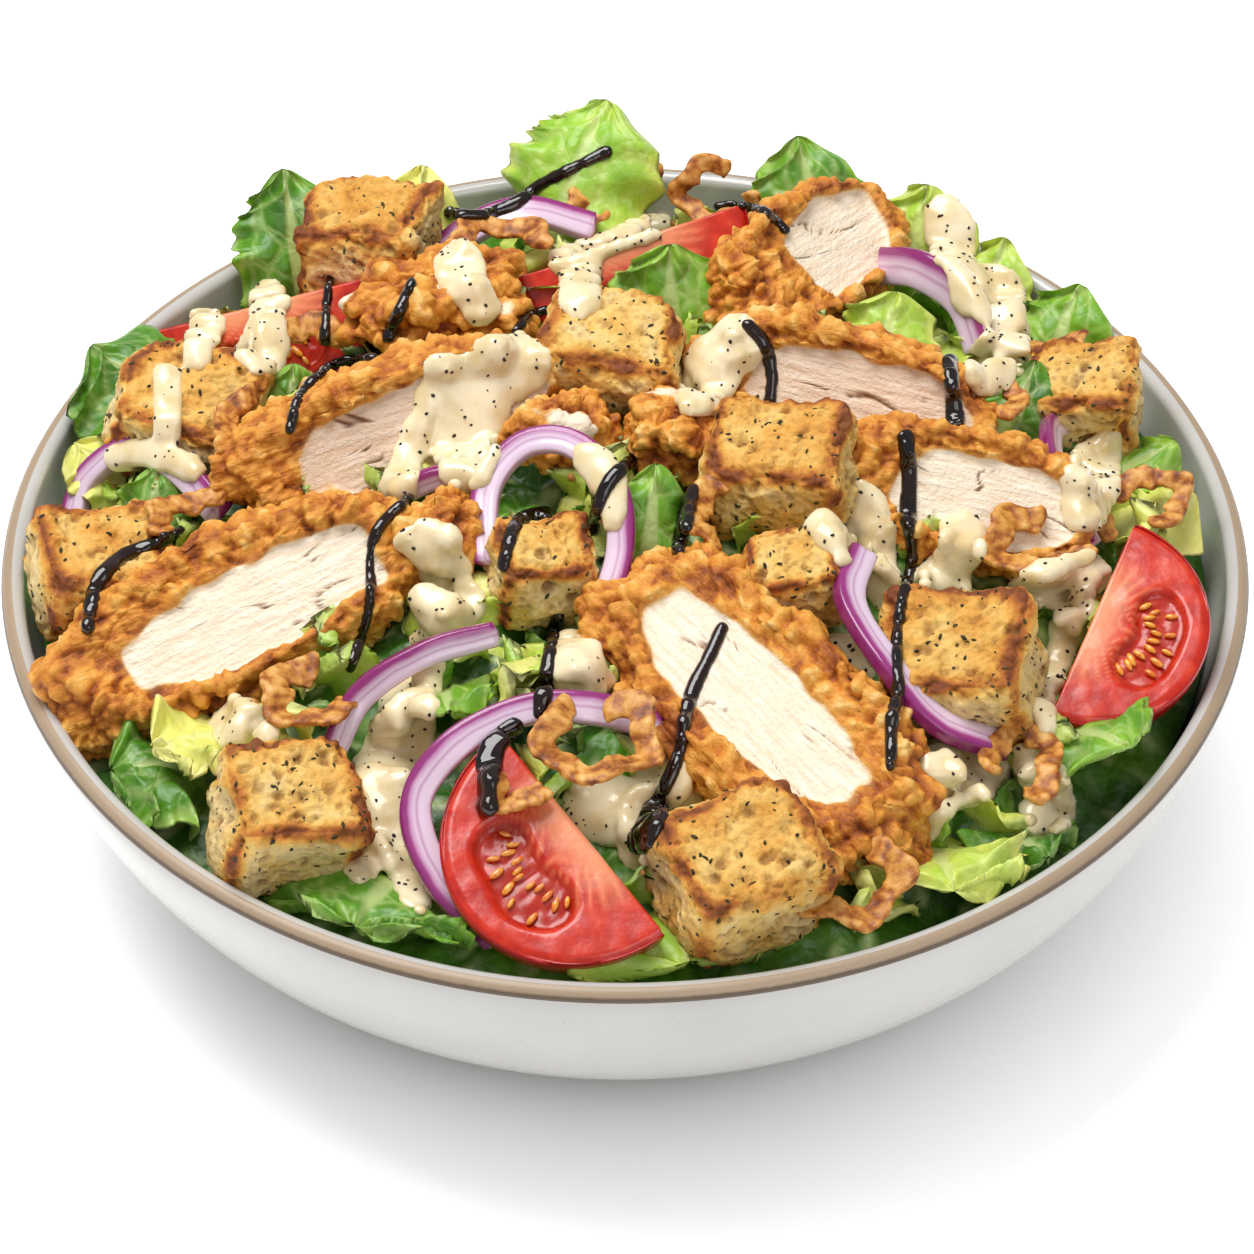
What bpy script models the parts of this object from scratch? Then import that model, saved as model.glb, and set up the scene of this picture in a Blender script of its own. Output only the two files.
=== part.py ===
"""Chicken caesar salad served in its shallow stoneware bowl.

Units are metres, +Z is up, and the origin is the middle of the bowl's foot on the surface it stands on.
The photographed front faces -Y. Tables of pieces are in millimetres and degrees.
"""

import math
from typing import NamedTuple

import bmesh
import bpy
from mathutils import Matrix, Vector, noise
from mathutils.kdtree import KDTree

MM = 0.001

# Bowl
RIM_RADIUS = 125.0
BOWL_HEIGHT = 66.0
BASE_RADIUS = 64.0
BASE_HEIGHT = 1.2
FOOT_OUTER_RADIUS = 60.0
FOOT_INNER_RADIUS = 54.0
FOOT_RECESS = 2.5
WALL = 4.6
LIP_RADIUS = 2.0
LIP_POINTS = 3
FLOOR_THICKNESS = 6.5
SIDE_BULGE = 1.47
SIDE_ROUNDNESS = 2.1
SIDE_POINTS = 4
BOWL_STEPS = 36

# Bed of leaves under the toppings
BED_EDGE_RADIUS = 112.0
BED_EDGE_HEIGHT = 57.0
BED_CENTRE_HEIGHT = 79.0
CORE_DROP = 2.5
CORE_LUMP = 1.6
CORE_GAP = 0.9
CORE_SEGMENTS = 24
CORE_RINGS = 5
LEAF_THICKNESS = 1.3
LEAF_CELLS = (5, 3)
BED_DETAIL = 0.62
LEAF_ROOT = 6.0
LEAF_REACH = 122.5

# Clear space between pieces that touch, and how far apart a cut's coinciding corners are moved
GAP = 0.5
THIN_GAP = 0.45
TOUCH_DISTANCE = 0.003
TOUCH_SHIFT = 0.03

SHELL_LIMIT = 2.5

# Chicken slice: rings from the middle of the cut face over the crust to the middle of the underside, each
# with its share of the slice's half size and its height in a slice of full depth
SLICE_RINGS = ((0.0, 0.0), (0.42, 0.2), (0.66, 0.0), (0.84, 1.8), (1.0, -2.4), (1.02, -9.5),
               (0.86, -16.0), (0.5, -19.0), (0.0, -19.0))
SLICE_DEPTH = 19.0
SLICE_SEGMENTS = 16
SLICE_SQUARENESS = 0.8
MEAT_SHARE = 0.66
CRAG_SIZE = 9.0
CRAG_SPREAD = 0.16
CRAG_HEIGHT = 1.8

# Crust nugget
NUGGET_SEGMENTS = (10, 6)
NUGGET_LUMP_SIZE = 6.0
NUGGET_LUMP = 0.45

# Crouton
CROUTON_CUTS = 2
CROUTON_SQUARENESS = 7
CROUTON_LUMP_SIZE = 11.0
CROUTON_LUMP = 0.12

# Tomato wedge
TOMATO_SEGMENTS = (24, 10)

# Onion arc
ARC_CELLS = 3
TANGENT_STEP = 0.02

# Fried onion
SHRED_THICKNESS = 2.2
SHRED_CELLS = 8
SHRED_RAGGED = 0.14
SHRED_RAGGED_WAVES = 5
SHRED_FLARE = 0.35
SHRED_WAVE_HEIGHT = 0.9
SHRED_WAVES = 3

# Leaf: where its outline starts and how much of a half wave it takes, and its edge's ruffle
LEAF_OUTLINE_START = 0.16
LEAF_OUTLINE_SPAN = 0.7
LEAF_FULLNESS = 0.7
RUFFLE_TURN = 9.0
RUFFLE_SHIFT = 2.0

# Noise: step between the forms of two pieces, and the bed's lumps
SEED_STEP = (3.7, 1.3, 2.1)
SEED_COUNT = 97
CORE_LUMP_SIZE = 14.0
CORE_SEED = 5

# Surfaces: name, colour and roughness
CRUST = ("fried_crust", (0.62, 0.28, 0.07), 0.7)
TOAST = ("toasted_bread", (0.66, 0.38, 0.12), 0.85)
TOMATO = ("tomato_flesh", (0.62, 0.04, 0.02), 0.25)
ONION = ("red_onion", (0.42, 0.12, 0.28), 0.35)
LETTUCE = ("lettuce", (0.18, 0.36, 0.05), 0.5)
GLAZE = ("glazed_stoneware", (0.78, 0.77, 0.74), 0.3)


class Slice(NamedTuple):
    """Fried chicken slice: centre of its cut face, turn, size along, across and below the face."""

    name: str
    centre: tuple
    yaw: float
    pitch: float
    tilt: float
    size: tuple


class Lump(NamedTuple):
    """Crouton or crust nugget: centre, turn and full size along its own axes."""

    name: str
    centre: tuple
    turn: tuple
    size: tuple


class Wedge(NamedTuple):
    """Tomato wedge: middle of its core edge, turn of the cut face, length, radius and opening angle."""

    name: str
    centre: tuple
    yaw: float
    pitch: float
    tilt: float
    length: float
    radius: float
    opening: float


class Band(NamedTuple):
    """Onion arc: a route through its middle line, with the band's width and thickness."""

    name: str
    route: tuple
    width: float
    thickness: float


class Shred(NamedTuple):
    """Fried onion: centre, turn, full size of the oval it follows, part of that oval and band width."""

    name: str
    centre: tuple
    turn: tuple
    size: tuple
    sweep: float
    width: float


class Leaf(NamedTuple):
    """Lettuce leaf: where it leaves the bed, where its tip is, full width, ruffle height and cross curl."""

    root: tuple
    tip: tuple
    width: float
    ruffle: float
    curl: float


CHICKEN = (
    Slice("chicken_slice_front", (25, -63, 83), -48, -11, 14, (80, 36, 19)),
    Slice("chicken_slice_left", (-77, -36, 80), 23, 16, 26, (78, 32, 19)),
    Slice("chicken_slice_centre", (-46, 9, 88), 20, 9, 48, (72, 25, 20)),
    Slice("chicken_slice_back", (40, 73, 82), 52, -8, 34, (54, 28, 20)),
    Slice("chicken_slice_right", (43, 21, 88), -16, -6, 46, (60, 25, 19)),
    Slice("chicken_slice_side", (68, -6, 84), -9, -10, 36, (50, 27, 18)),
)

NUGGETS = (
    Lump("crust_nugget_back", (-38, 55, 82), (0, 0, 12), (38, 25, 18)),
    Lump("crust_nugget_centre", (-12, 7, 89), (0, 0, 20), (21, 15, 15)),
    Lump("crust_nugget_middle", (10, 6, 89), (0, 0, -25), (19, 17, 15)),
    Lump("crust_nugget_left", (-36, -20, 86), (0, 0, 35), (18, 15, 13)),
)

CROUTONS = (
    Lump("crouton_front_left", (-63, -82, 70), (14, -6, 12), (27, 25, 23)),
    Lump("crouton_front", (21, -99, 71), (16, 4, 24), (29, 26, 24)),
    Lump("crouton_front_right", (64, -49, 77), (14, 8, -12), (29, 26, 23)),
    Lump("crouton_centre_back", (-3, 31, 87), (4, -4, -8), (28, 25, 22)),
    Lump("crouton_centre_right", (31, -4, 88), (6, 6, -10), (29, 25, 20)),
    Lump("crouton_left", (-89, 29, 74), (10, -8, -14), (30, 26, 21)),
    Lump("crouton_back_left", (-54, 84, 75), (-4, 10, -16), (29, 25, 23)),
    Lump("crouton_far_left", (-104, -15, 69), (6, -8, 14), (26, 25, 22)),
    Lump("crouton_far_right", (94, 38, 71), (8, 8, -10), (24, 21, 19)),
    Lump("crouton_centre_left", (-16, -28, 83), (8, -6, 12), (20, 18, 18)),
    Lump("crouton_centre_front", (33, -31, 84), (12, 8, 8), (19, 17, 17)),
)

TOMATOES = (
    Wedge("tomato_wedge_front", (-8, -94, 77), 131, 20, -16, 50, 27, 84),
    Wedge("tomato_wedge_right", (91, -34, 76), 246, -16, -8, 47, 23, 84),
    Wedge("tomato_wedge_back_left", (-76, 62, 77), 181, -17, -38, 50, 23, 84),
    Wedge("tomato_wedge_back", (1, 72, 86), 202, -5, -38, 52, 24, 84),
)

ONIONS = (
    Band("onion_arc_left",
         ((-113, 12, 58), (-110, 20, 65), (-101, 20, 73), (-90, 11, 76), (-80, -3, 75)), 6.0, 3.4),
    Band("onion_arc_back_left",
         ((-42, 78, 72), (-34, 90, 74), (-21, 95, 76), (-6, 93, 73)), 7.0, 3.4),
    Band("onion_arc_centre",
         ((-27, -28, 84), (-27, -14, 91), (-20, -7, 97), (-10, -9, 99), (-2, -18, 95), (-1, -29, 88),
          (-5, -40, 81)), 5.6, 3.2),
    Band("onion_arc_front_left",
         ((-56, -66, 70), (-50, -58, 78), (-38, -53, 84), (-24, -48, 85)), 5.2, 3.2),
    Band("onion_arc_front",
         ((-23, -108, 62), (-35, -96, 68), (-39, -84, 75), (-31, -75, 82), (-17, -69, 85), (-2, -68, 83),
          (7, -68, 78)), 6.2, 3.4),
    Band("onion_arc_right",
         ((46, -28, 88), (43, -42, 88), (50, -57, 85), (60, -66, 78), (73, -65, 71)), 6.2, 3.4),
    Band("onion_arc_back_right",
         ((54, 79, 74), (62, 71, 79), (70, 63, 78), (74, 52, 73)), 8.0, 3.4),
    Band("onion_arc_far_right",
         ((90, 34, 68), (86, 20, 77), (87, 2, 79), (93, -9, 72)), 5.6, 3.2),
    Band("onion_arc_middle",
         ((-45, -7, 84), (-37, -6, 88), (-28, -6, 88)), 4.6, 3.0),
)

SHREDS = (
    Shred("fried_onion_ring_front", (-5, -79, 87), (8, 0, 10), (19, 17), 330, 4.0),
    Shred("fried_onion_shred_front", (-18, -86, 83), (20, 0, 40), (15, 7), 170, 3.4),
    Shred("fried_onion_ring_right", (41, -99, 71), (18, 0, -20), (19, 17), 300, 4.0),
    Shred("fried_onion_curl_left", (-59, -57, 78), (8, 0, 30), (16, 13), 260, 4.0),
    Shred("fried_onion_curl_right", (75, -71, 73), (12, 0, 80), (19, 11), 280, 3.6),
    Shred("fried_onion_curl_back_right", (86, 57, 73), (0, 0, -20), (17, 11), 270, 4.0),
    Shred("fried_onion_ring_far_right", (103, 3, 73), (10, 10, 20), (18, 12), 320, 3.2),
    Shred("fried_onion_curl_side", (81, -17, 81), (12, 0, 10), (17, 13), 280, 3.8),
    Shred("fried_onion_shred_far_back", (2, 103, 74), (20, 0, 20), (28, 8), 180, 3.6),
    Shred("fried_onion_ring_far_back", (20, 103, 75), (50, 0, -10), (16, 12), 300, 3.0),
    Shred("fried_onion_curl_back", (-26, 72, 85), (0, 0, -10), (18, 14), 280, 3.6),
    Shred("fried_onion_curl_near_right", (73, 21, 84), (10, 0, 60), (18, 10), 250, 3.4),
    Shred("fried_onion_shred_left", (-84, -7, 80), (0, 0, 20), (18, 8), 180, 3.2),
    Shred("fried_onion_curl_far_left", (-76, 13, 85), (10, 0, 80), (18, 8), 200, 3.4),
    Shred("fried_onion_curl_centre", (19, -19, 91), (10, 0, 70), (18, 9), 230, 3.6),
    Shred("fried_onion_curl_tomato", (-66, 46, 79), (20, 0, 10), (14, 10), 240, 4.0),
)

LEAVES = (
    Leaf((-68, 76), (-73, 97, 86), 26, 3.0, 3.0),
    Leaf((-88, 40), (-111, 49, 76), 34, 3.0, 3.0),
    Leaf((-17, 92), (-4, 119, 88), 34, 2.5, 5.0),
    Leaf((-43, 94), (-44, 109, 78), 16, 2.5, 2.0),
    Leaf((44, 96), (37, 114, 82), 24, 2.5, 3.0),
    Leaf((60, 86), (65, 102, 78), 26, 3.0, 2.0),
    Leaf((76, 76), (81, 90, 73), 18, 2.5, 2.0),
    Leaf((88, 58), (96, 74, 73), 22, 2.5, 2.0),
    Leaf((10, 50), (9, 62, 93), 26, 2.5, 2.0),
    Leaf((4, -29), (6, -11, 96), 15, 2.0, 2.0),
    Leaf((-97, 16), (-113, 28, 68), 18, 2.0, 2.0),
    Leaf((-96, -6), (-94, 12, 76), 16, 2.0, 2.0),
    Leaf((-68, -52), (-90, -66, 72), 24, 3.0, 2.0),
    Leaf((-78, -60), (-98, -66, 66), 30, 3.0, 3.0),
    Leaf((-41, -86), (-50, -107, 65), 46, 3.0, 3.0),
    Leaf((57, -76), (61, -101, 69), 26, 3.0, 2.0),
    Leaf((80, -50), (96, -68, 74), 28, 2.5, 3.0),
    Leaf((70, -72), (79, -89, 65), 22, 2.5, 2.0),
    Leaf((94, 4), (115, 9, 71), 24, 3.0, 2.0),
    Leaf((92, 18), (113, 27, 69), 16, 2.0, 2.0),
    Leaf((-36, -45), (-33, -67, 82), 18, 2.0, 2.0),
    Leaf((-18, -38), (-9, -59, 85), 24, 2.5, 3.0),
    Leaf((52, 40), (56, 59, 83), 22, 2.5, 3.0),
    Leaf((76, 20), (84, 39, 81), 15, 2.0, 2.0),
    Leaf((6, -92), (12, -114, 63), 50, 2.5, 2.0),
    Leaf((-68, 22), (-68, 38, 81), 14, 2.0, 2.0),
)

# Pools of thick dressing that lie on the leaves: centre and full size
POOLS = (
    ((-45, -64, 75), (17, 17, 9)),
    ((-43, -79, 70), (18, 20, 9)),
    ((13, -81, 74), (34, 19, 9)),
    ((58, -80, 70), (24, 16, 8)),
    ((82, -58, 70), (11, 22, 8)),
    ((46, -24, 83), (18, 18, 9)),
    ((76, 68, 71), (18, 18, 8)),
    ((-2, -58, 81), (18, 14, 7)),
)


def side_radius(height):
    """Outer radius of the bowl's side at a height, in mm."""
    drop = min((BOWL_HEIGHT - LIP_RADIUS - height) / (BOWL_HEIGHT - LIP_RADIUS - BASE_HEIGHT), 1.0)
    swell = (1 - max(drop, 0.0) ** SIDE_BULGE) ** (1 / SIDE_ROUNDNESS)
    return BASE_RADIUS + (RIM_RADIUS - BASE_RADIUS) * swell


def inner_radius(height):
    """Inner radius of the bowl at a height, in mm."""
    floor = BASE_HEIGHT + FLOOR_THICKNESS
    drop = (BOWL_HEIGHT - LIP_RADIUS - height) / (BOWL_HEIGHT - LIP_RADIUS - floor)
    swell = (1 - min(max(drop, 0.0), 1.0) ** SIDE_BULGE) ** (1 / SIDE_ROUNDNESS)
    return BASE_RADIUS - WALL + (RIM_RADIUS - BASE_RADIUS) * swell


def side_heights(bottom):
    """Heights of the side's profile points, closer together where the side turns into the base."""
    top = BOWL_HEIGHT - LIP_RADIUS
    for index in range(SIDE_POINTS + 1):
        share = math.sin(0.5 * math.pi * index / SIDE_POINTS)
        yield top + (bottom - top) * share


def bowl_profile():
    """Half section of the bowl, from the middle of its floor over the lip to the middle of its underside."""
    floor = BASE_HEIGHT + FLOOR_THICKNESS
    inside = [(inner_radius(height), height) for height in side_heights(floor)]
    outside = [(side_radius(height), height) for height in side_heights(BASE_HEIGHT)]
    lip_centre = RIM_RADIUS - WALL / 2
    lip = []
    for index in range(1, LIP_POINTS + 1):
        angle = math.pi * (1 - index / (LIP_POINTS + 1))
        lip.append((lip_centre + WALL / 2 * math.cos(angle),
                    BOWL_HEIGHT - LIP_RADIUS + LIP_RADIUS * math.sin(angle)))
    foot = [(FOOT_OUTER_RADIUS, 0.0), (FOOT_INNER_RADIUS, 0.0), (FOOT_INNER_RADIUS - 1, FOOT_RECESS)]
    return [(0.0, floor)] + inside[::-1] + lip + outside + foot + [(0.0, FOOT_RECESS)]


def bed_height(x, y):
    """Height of the leaf bed at a place, in mm."""
    share = math.hypot(x, y) / BED_EDGE_RADIUS
    return BED_EDGE_HEIGHT + (BED_CENTRE_HEIGHT - BED_EDGE_HEIGHT) * (1 - share ** 2)


def lumpiness(place, scale, seed):
    """Smooth noise between about -1 and 1 for a place in mm."""
    return noise.noise(Vector(place) / scale + Vector([seed * step for step in SEED_STEP]))


def seed_of(name):
    """Number from a piece's name, so that each piece has its own form."""
    return sum(ord(letter) for letter in name) % SEED_COUNT


def material(name, colour, roughness):
    """Plain Principled material."""
    made = bpy.data.materials.new(name)
    made.use_nodes = True
    shader = made.node_tree.nodes["Principled BSDF"]
    shader.inputs["Base Color"].default_value = (*colour, 1.0)
    shader.inputs["Roughness"].default_value = roughness
    return made


def add_object(name, mesh_builder, collection, surface=None):
    """New object in a collection from a bmesh in mm."""
    mesh = bpy.data.meshes.new(name)
    bmesh.ops.scale(mesh_builder, vec=(MM, MM, MM), verts=mesh_builder.verts)
    bmesh.ops.recalc_face_normals(mesh_builder, faces=mesh_builder.faces)
    mesh_builder.to_mesh(mesh)
    mesh_builder.free()
    if surface:
        mesh.materials.append(surface)
    added = bpy.data.objects.new(name, mesh)
    collection.objects.link(added)
    return added


def place(target, centre, yaw, pitch, tilt):
    """Set an object's place in mm and its turn in degrees; pitch raises its +X end, tilt turns +Z to -Y."""
    target.location = Vector(centre) * MM
    target.rotation_euler = (math.radians(tilt), math.radians(-pitch), math.radians(yaw))


def apply_modifiers(target):
    """Replace an object's mesh by its evaluated one."""
    bpy.context.view_layer.update()
    depsgraph = bpy.context.evaluated_depsgraph_get()
    mesh = bpy.data.meshes.new_from_object(target.evaluated_get(depsgraph))
    target.modifiers.clear()
    target.data = mesh


def keep_largest_body(target):
    """Drop loose scraps and sealed hollows from an object's mesh."""
    builder = bmesh.new()
    builder.from_mesh(target.data)
    bmesh.ops.dissolve_degenerate(builder, edges=builder.edges, dist=TOUCH_DISTANCE * MM)
    bmesh.ops.triangulate(builder, faces=builder.faces)
    crowded = crowded_edges(builder)
    while crowded:
        bmesh.ops.collapse(builder, edges=crowded)
        crowded = crowded_edges(builder)
    bodies = face_bodies(builder)
    for body in sorted(bodies, key=len)[:-1]:
        bmesh.ops.delete(builder, geom=list(body), context="FACES")
    bare = [edge for edge in builder.edges if not edge.link_faces]
    bmesh.ops.delete(builder, geom=bare, context="EDGES")
    loosen_touching_corners(builder)
    builder.to_mesh(target.data)
    builder.free()


def crowded_edges(builder):
    """Edges that more than two faces share."""
    return [edge for edge in builder.edges if len(edge.link_faces) > 2]


def face_bodies(builder):
    """Sets of faces that hang together by their edges."""
    unseen = set(builder.faces)
    bodies = []
    while unseen:
        body = set()
        stack = [unseen.pop()]
        while stack:
            face = stack.pop()
            body.add(face)
            for edge in face.edges:
                for other in edge.link_faces:
                    if other in unseen:
                        unseen.remove(other)
                        stack.append(other)
        bodies.append(body)
    return bodies


def loosen_touching_corners(builder):
    """Move corners that coincide without sharing an edge a little way into their own material."""
    builder.normal_update()
    tree = KDTree(len(builder.verts))
    for index, vertex in enumerate(builder.verts):
        tree.insert(vertex.co, index)
    tree.balance()
    builder.verts.ensure_lookup_table()
    touching = set()
    for vertex in builder.verts:
        for _, index, _ in tree.find_range(vertex.co, TOUCH_DISTANCE * MM):
            if builder.verts[index] is not vertex:
                touching.add(vertex)
    for vertex in touching:
        vertex.co -= vertex.normal * TOUCH_SHIFT * MM


def turned(name, profile, steps, collection, surface):
    """Turned solid from a profile in mm."""
    builder = bmesh.new()
    corners = [builder.verts.new((radius, 0.0, height)) for radius, height in profile]
    for start, end in zip(corners, corners[1:]):
        builder.edges.new((start, end))
    made = add_object(name, builder, collection, surface)
    screw = made.modifiers.new("Turn", "SCREW")
    screw.axis = "Z"
    screw.steps = steps
    screw.render_steps = steps
    screw.use_merge_vertices = True
    screw.merge_threshold = 0.00005
    return made


def chicken_slice(row, collection, surface):
    """Oval slab with a flat cut face, a raised ragged crust round it and a crusty underside."""
    length, width, depth = row.size
    seed = seed_of(row.name)
    last = len(SLICE_RINGS) - 1
    builder = bmesh.new()
    bmesh.ops.create_uvsphere(builder, u_segments=SLICE_SEGMENTS, v_segments=last, radius=1.0)
    for vertex in builder.verts:
        ring = round(math.acos(max(-1.0, min(1.0, vertex.co.z))) / math.pi * last)
        share, height = SLICE_RINGS[ring]
        angle = math.atan2(vertex.co.y, vertex.co.x)
        across = math.copysign(abs(math.sin(angle)) ** SLICE_SQUARENESS, math.sin(angle))
        along = math.copysign(abs(math.cos(angle)) ** SLICE_SQUARENESS, math.cos(angle))
        spot = Vector((length / 2 * along, width / 2 * across, 0.0)) * share
        crag = lumpiness((spot.x, spot.y, height), CRAG_SIZE, seed)
        spot *= 1 + CRAG_SPREAD * crag * share
        rise = CRAG_HEIGHT * crag * max(0.0, share - MEAT_SHARE)
        vertex.co = (spot.x, spot.y, height * depth / SLICE_DEPTH + rise)
    made = add_object(row.name, builder, collection, surface)
    place(made, row.centre, row.yaw, row.pitch, row.tilt)
    return made


def crust_nugget(row, collection, surface):
    """Rough lump of fried crust."""
    builder = bmesh.new()
    segments, rings = NUGGET_SEGMENTS
    bmesh.ops.create_uvsphere(builder, u_segments=segments, v_segments=rings, radius=0.5)
    mean_size = Vector(row.size).length / math.sqrt(3)
    for vertex in builder.verts:
        swell = 1 + NUGGET_LUMP * lumpiness(vertex.co * mean_size, NUGGET_LUMP_SIZE, seed_of(row.name))
        vertex.co = Vector(row.size) * swell * vertex.co
    return placed_lump(row, builder, collection, surface)


def crouton(row, collection, surface):
    """Bread cube with worn corners and uneven sides."""
    builder = bmesh.new()
    bmesh.ops.create_cube(builder, size=2.0)
    bmesh.ops.subdivide_edges(builder, edges=builder.edges, cuts=CROUTON_CUTS, use_grid_fill=True)
    for vertex in builder.verts:
        corner = sum(abs(value) ** CROUTON_SQUARENESS for value in vertex.co) ** (1 / CROUTON_SQUARENESS)
        spot = Vector(row.size) / 2 * vertex.co / corner
        vertex.co = spot * (1 + CROUTON_LUMP * lumpiness(spot, CROUTON_LUMP_SIZE, seed_of(row.name)))
    return placed_lump(row, builder, collection, surface)


def placed_lump(row, builder, collection, surface):
    """Lump made an object and put in its place."""
    made = add_object(row.name, builder, collection, surface)
    tilt, pitch, yaw = row.turn
    place(made, row.centre, yaw, pitch, tilt)
    return made


def tomato_wedge(row, collection, surface):
    """Part of an ovoid tomato between two flat cuts that meet in its core edge, along local X."""
    builder = bmesh.new()
    segments, rings = TOMATO_SEGMENTS
    bmesh.ops.create_uvsphere(builder, u_segments=segments, v_segments=rings, radius=1.0)
    upright_to_side = Matrix.Rotation(math.radians(90), 4, "Y")
    bmesh.ops.transform(builder, matrix=upright_to_side, verts=builder.verts)
    bmesh.ops.scale(builder, vec=(row.length / 2, row.radius, row.radius), verts=builder.verts)
    opening = math.radians(row.opening)
    for normal in (Vector((0, 0, 1)), Vector((0, -math.sin(opening), -math.cos(opening)))):
        geometry = builder.verts[:] + builder.edges[:] + builder.faces[:]
        bmesh.ops.bisect_plane(builder, geom=geometry, dist=0.001, plane_co=(0, 0, 0), plane_no=normal,
                               clear_outer=True)
        open_edges = [edge for edge in builder.edges if edge.is_boundary]
        bmesh.ops.holes_fill(builder, edges=open_edges)
    bmesh.ops.triangulate(builder, faces=builder.faces)
    made = add_object(row.name, builder, collection, surface)
    place(made, row.centre, row.yaw, row.pitch, row.tilt)
    return made


def smooth_route(points, share):
    """Place on a Catmull-Rom curve through points at a share of its length from 0 to 1."""
    corners = [Vector(point) for point in points]
    corners = [corners[0] * 2 - corners[1]] + corners + [corners[-1] * 2 - corners[-2]]
    spans = len(points) - 1
    index = min(int(share * spans), spans - 1)
    step = share * spans - index
    before, start, end, after = corners[index:index + 4]
    return 0.5 * (2 * start + (end - before) * step
                  + (2 * before - 5 * start + 4 * end - after) * step ** 2
                  + (3 * start - before - 3 * end + after) * step ** 3)


def route_normal(points):
    """Normal of the plane that a route bends in, turned up or to the front."""
    corners = [Vector(point) for point in points]
    total = Vector()
    for start, end in zip(corners, corners[1:] + corners[:1]):
        total += (start - corners[0]).cross(end - corners[0])
    total.normalize()
    return total if total.z - total.y > 0 else -total


def onion_arc(row, collection, surface):
    """Flat curved strip of a sliced onion ring, standing on edge or lying."""
    normal = route_normal(row.route)
    cells = ARC_CELLS * (len(row.route) - 1)
    builder = bmesh.new()
    bmesh.ops.create_grid(builder, x_segments=cells, y_segments=1, size=1.0)
    for vertex in builder.verts:
        share = (vertex.co.x + 1) / 2
        spot = smooth_route(row.route, share)
        ahead = smooth_route(row.route, min(share + TANGENT_STEP, 1.0))
        behind = smooth_route(row.route, max(share - TANGENT_STEP, 0.0))
        outward = normal.cross(ahead - behind).normalized()
        vertex.co = spot + outward * (vertex.co.y * row.width / 2)
    bmesh.ops.triangulate(builder, faces=builder.faces)
    made = add_object(row.name, builder, collection, surface)
    thicken(made, row.thickness)
    return made


def fried_onion(row, collection, surface):
    """Ragged band that follows part of an oval and waves up and down."""
    builder = bmesh.new()
    bmesh.ops.create_grid(builder, x_segments=SHRED_CELLS, y_segments=1, size=1.0)
    for vertex in builder.verts:
        vertex.co = shred_spot(row, (vertex.co.x + 1) / 2, vertex.co.y)
    bmesh.ops.triangulate(builder, faces=builder.faces)
    made = add_object(row.name, builder, collection, surface)
    thicken(made, SHRED_THICKNESS)
    tilt, pitch, yaw = row.turn
    place(made, row.centre, yaw, pitch, tilt)
    return made


def shred_spot(row, along, across):
    """Place on a fried onion's middle surface; along runs 0 to 1 and across -1 to 1."""
    angle = math.radians(row.sweep) * (along - 0.5) + seed_of(row.name)
    ragged = 1 + SHRED_RAGGED * math.sin(SHRED_RAGGED_WAVES * angle + seed_of(row.name))
    middle = Vector((row.size[0] / 2 * math.cos(angle), row.size[1] / 2 * math.sin(angle), 0.0)) * ragged
    outward = Vector((math.cos(angle), math.sin(angle), SHRED_FLARE)).normalized()
    wave = Vector((0.0, 0.0, SHRED_WAVE_HEIGHT * math.sin(SHRED_WAVES * angle)))
    return middle + outward * (across * row.width / 2) + wave


def thicken(target, thickness):
    """Give an open surface its thickness, half on each side."""
    solidify = target.modifiers.new("Thickness", "SOLIDIFY")
    solidify.thickness = thickness * MM
    solidify.offset = 0.0
    apply_modifiers(target)


def leaf_spot(row, along, across):
    """Place on a leaf's middle surface; along runs 0 to 1 and across -1 to 1."""
    base = Vector((*row.root, bed_height(*row.root) - LEAF_ROOT))
    tip = Vector(row.tip)
    forward = tip - base
    side = Vector((-forward.y, forward.x, 0.0)).normalized()
    up = side.cross(-forward).normalized()
    if up.z < 0:
        up = -up
    outline = math.sin(math.pi * (LEAF_OUTLINE_START + LEAF_OUTLINE_SPAN * along)) ** LEAF_FULLNESS
    half_width = row.width / 2 * outline
    phase = row.root[0] + row.root[1] + (RUFFLE_SHIFT if across > 0 else 0.0)
    ruffle = row.ruffle * abs(across) * math.sin(RUFFLE_TURN * along + phase)
    arch = row.curl * math.sin(math.pi * along)
    fold = row.curl * across ** 2
    spot = base + forward * along + side * (across * half_width) + up * (ruffle + arch - fold)
    reach = min(1.0, LEAF_REACH / max(math.hypot(spot.x, spot.y), 1.0))
    return Vector((spot.x * reach, spot.y * reach, spot.z))


def lettuce_leaf(row, collection):
    """Thin wavy leaf."""
    builder = bmesh.new()
    bmesh.ops.create_grid(builder, x_segments=LEAF_CELLS[0], y_segments=LEAF_CELLS[1], size=1.0)
    for vertex in builder.verts:
        vertex.co = leaf_spot(row, (vertex.co.x + 1) / 2, vertex.co.y)
    bmesh.ops.triangulate(builder, faces=builder.faces)
    made = add_object("leaf", builder, collection)
    thicken(made, LEAF_THICKNESS)
    return made


def dressing_pool(centre, size, collection):
    """Flattened drop of thick dressing."""
    builder = bmesh.new()
    bmesh.ops.create_uvsphere(builder, u_segments=8, v_segments=4, radius=0.5)
    bmesh.ops.scale(builder, vec=size, verts=builder.verts)
    made = add_object("pool", builder, collection)
    made.location = Vector(centre) * MM
    return made


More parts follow.
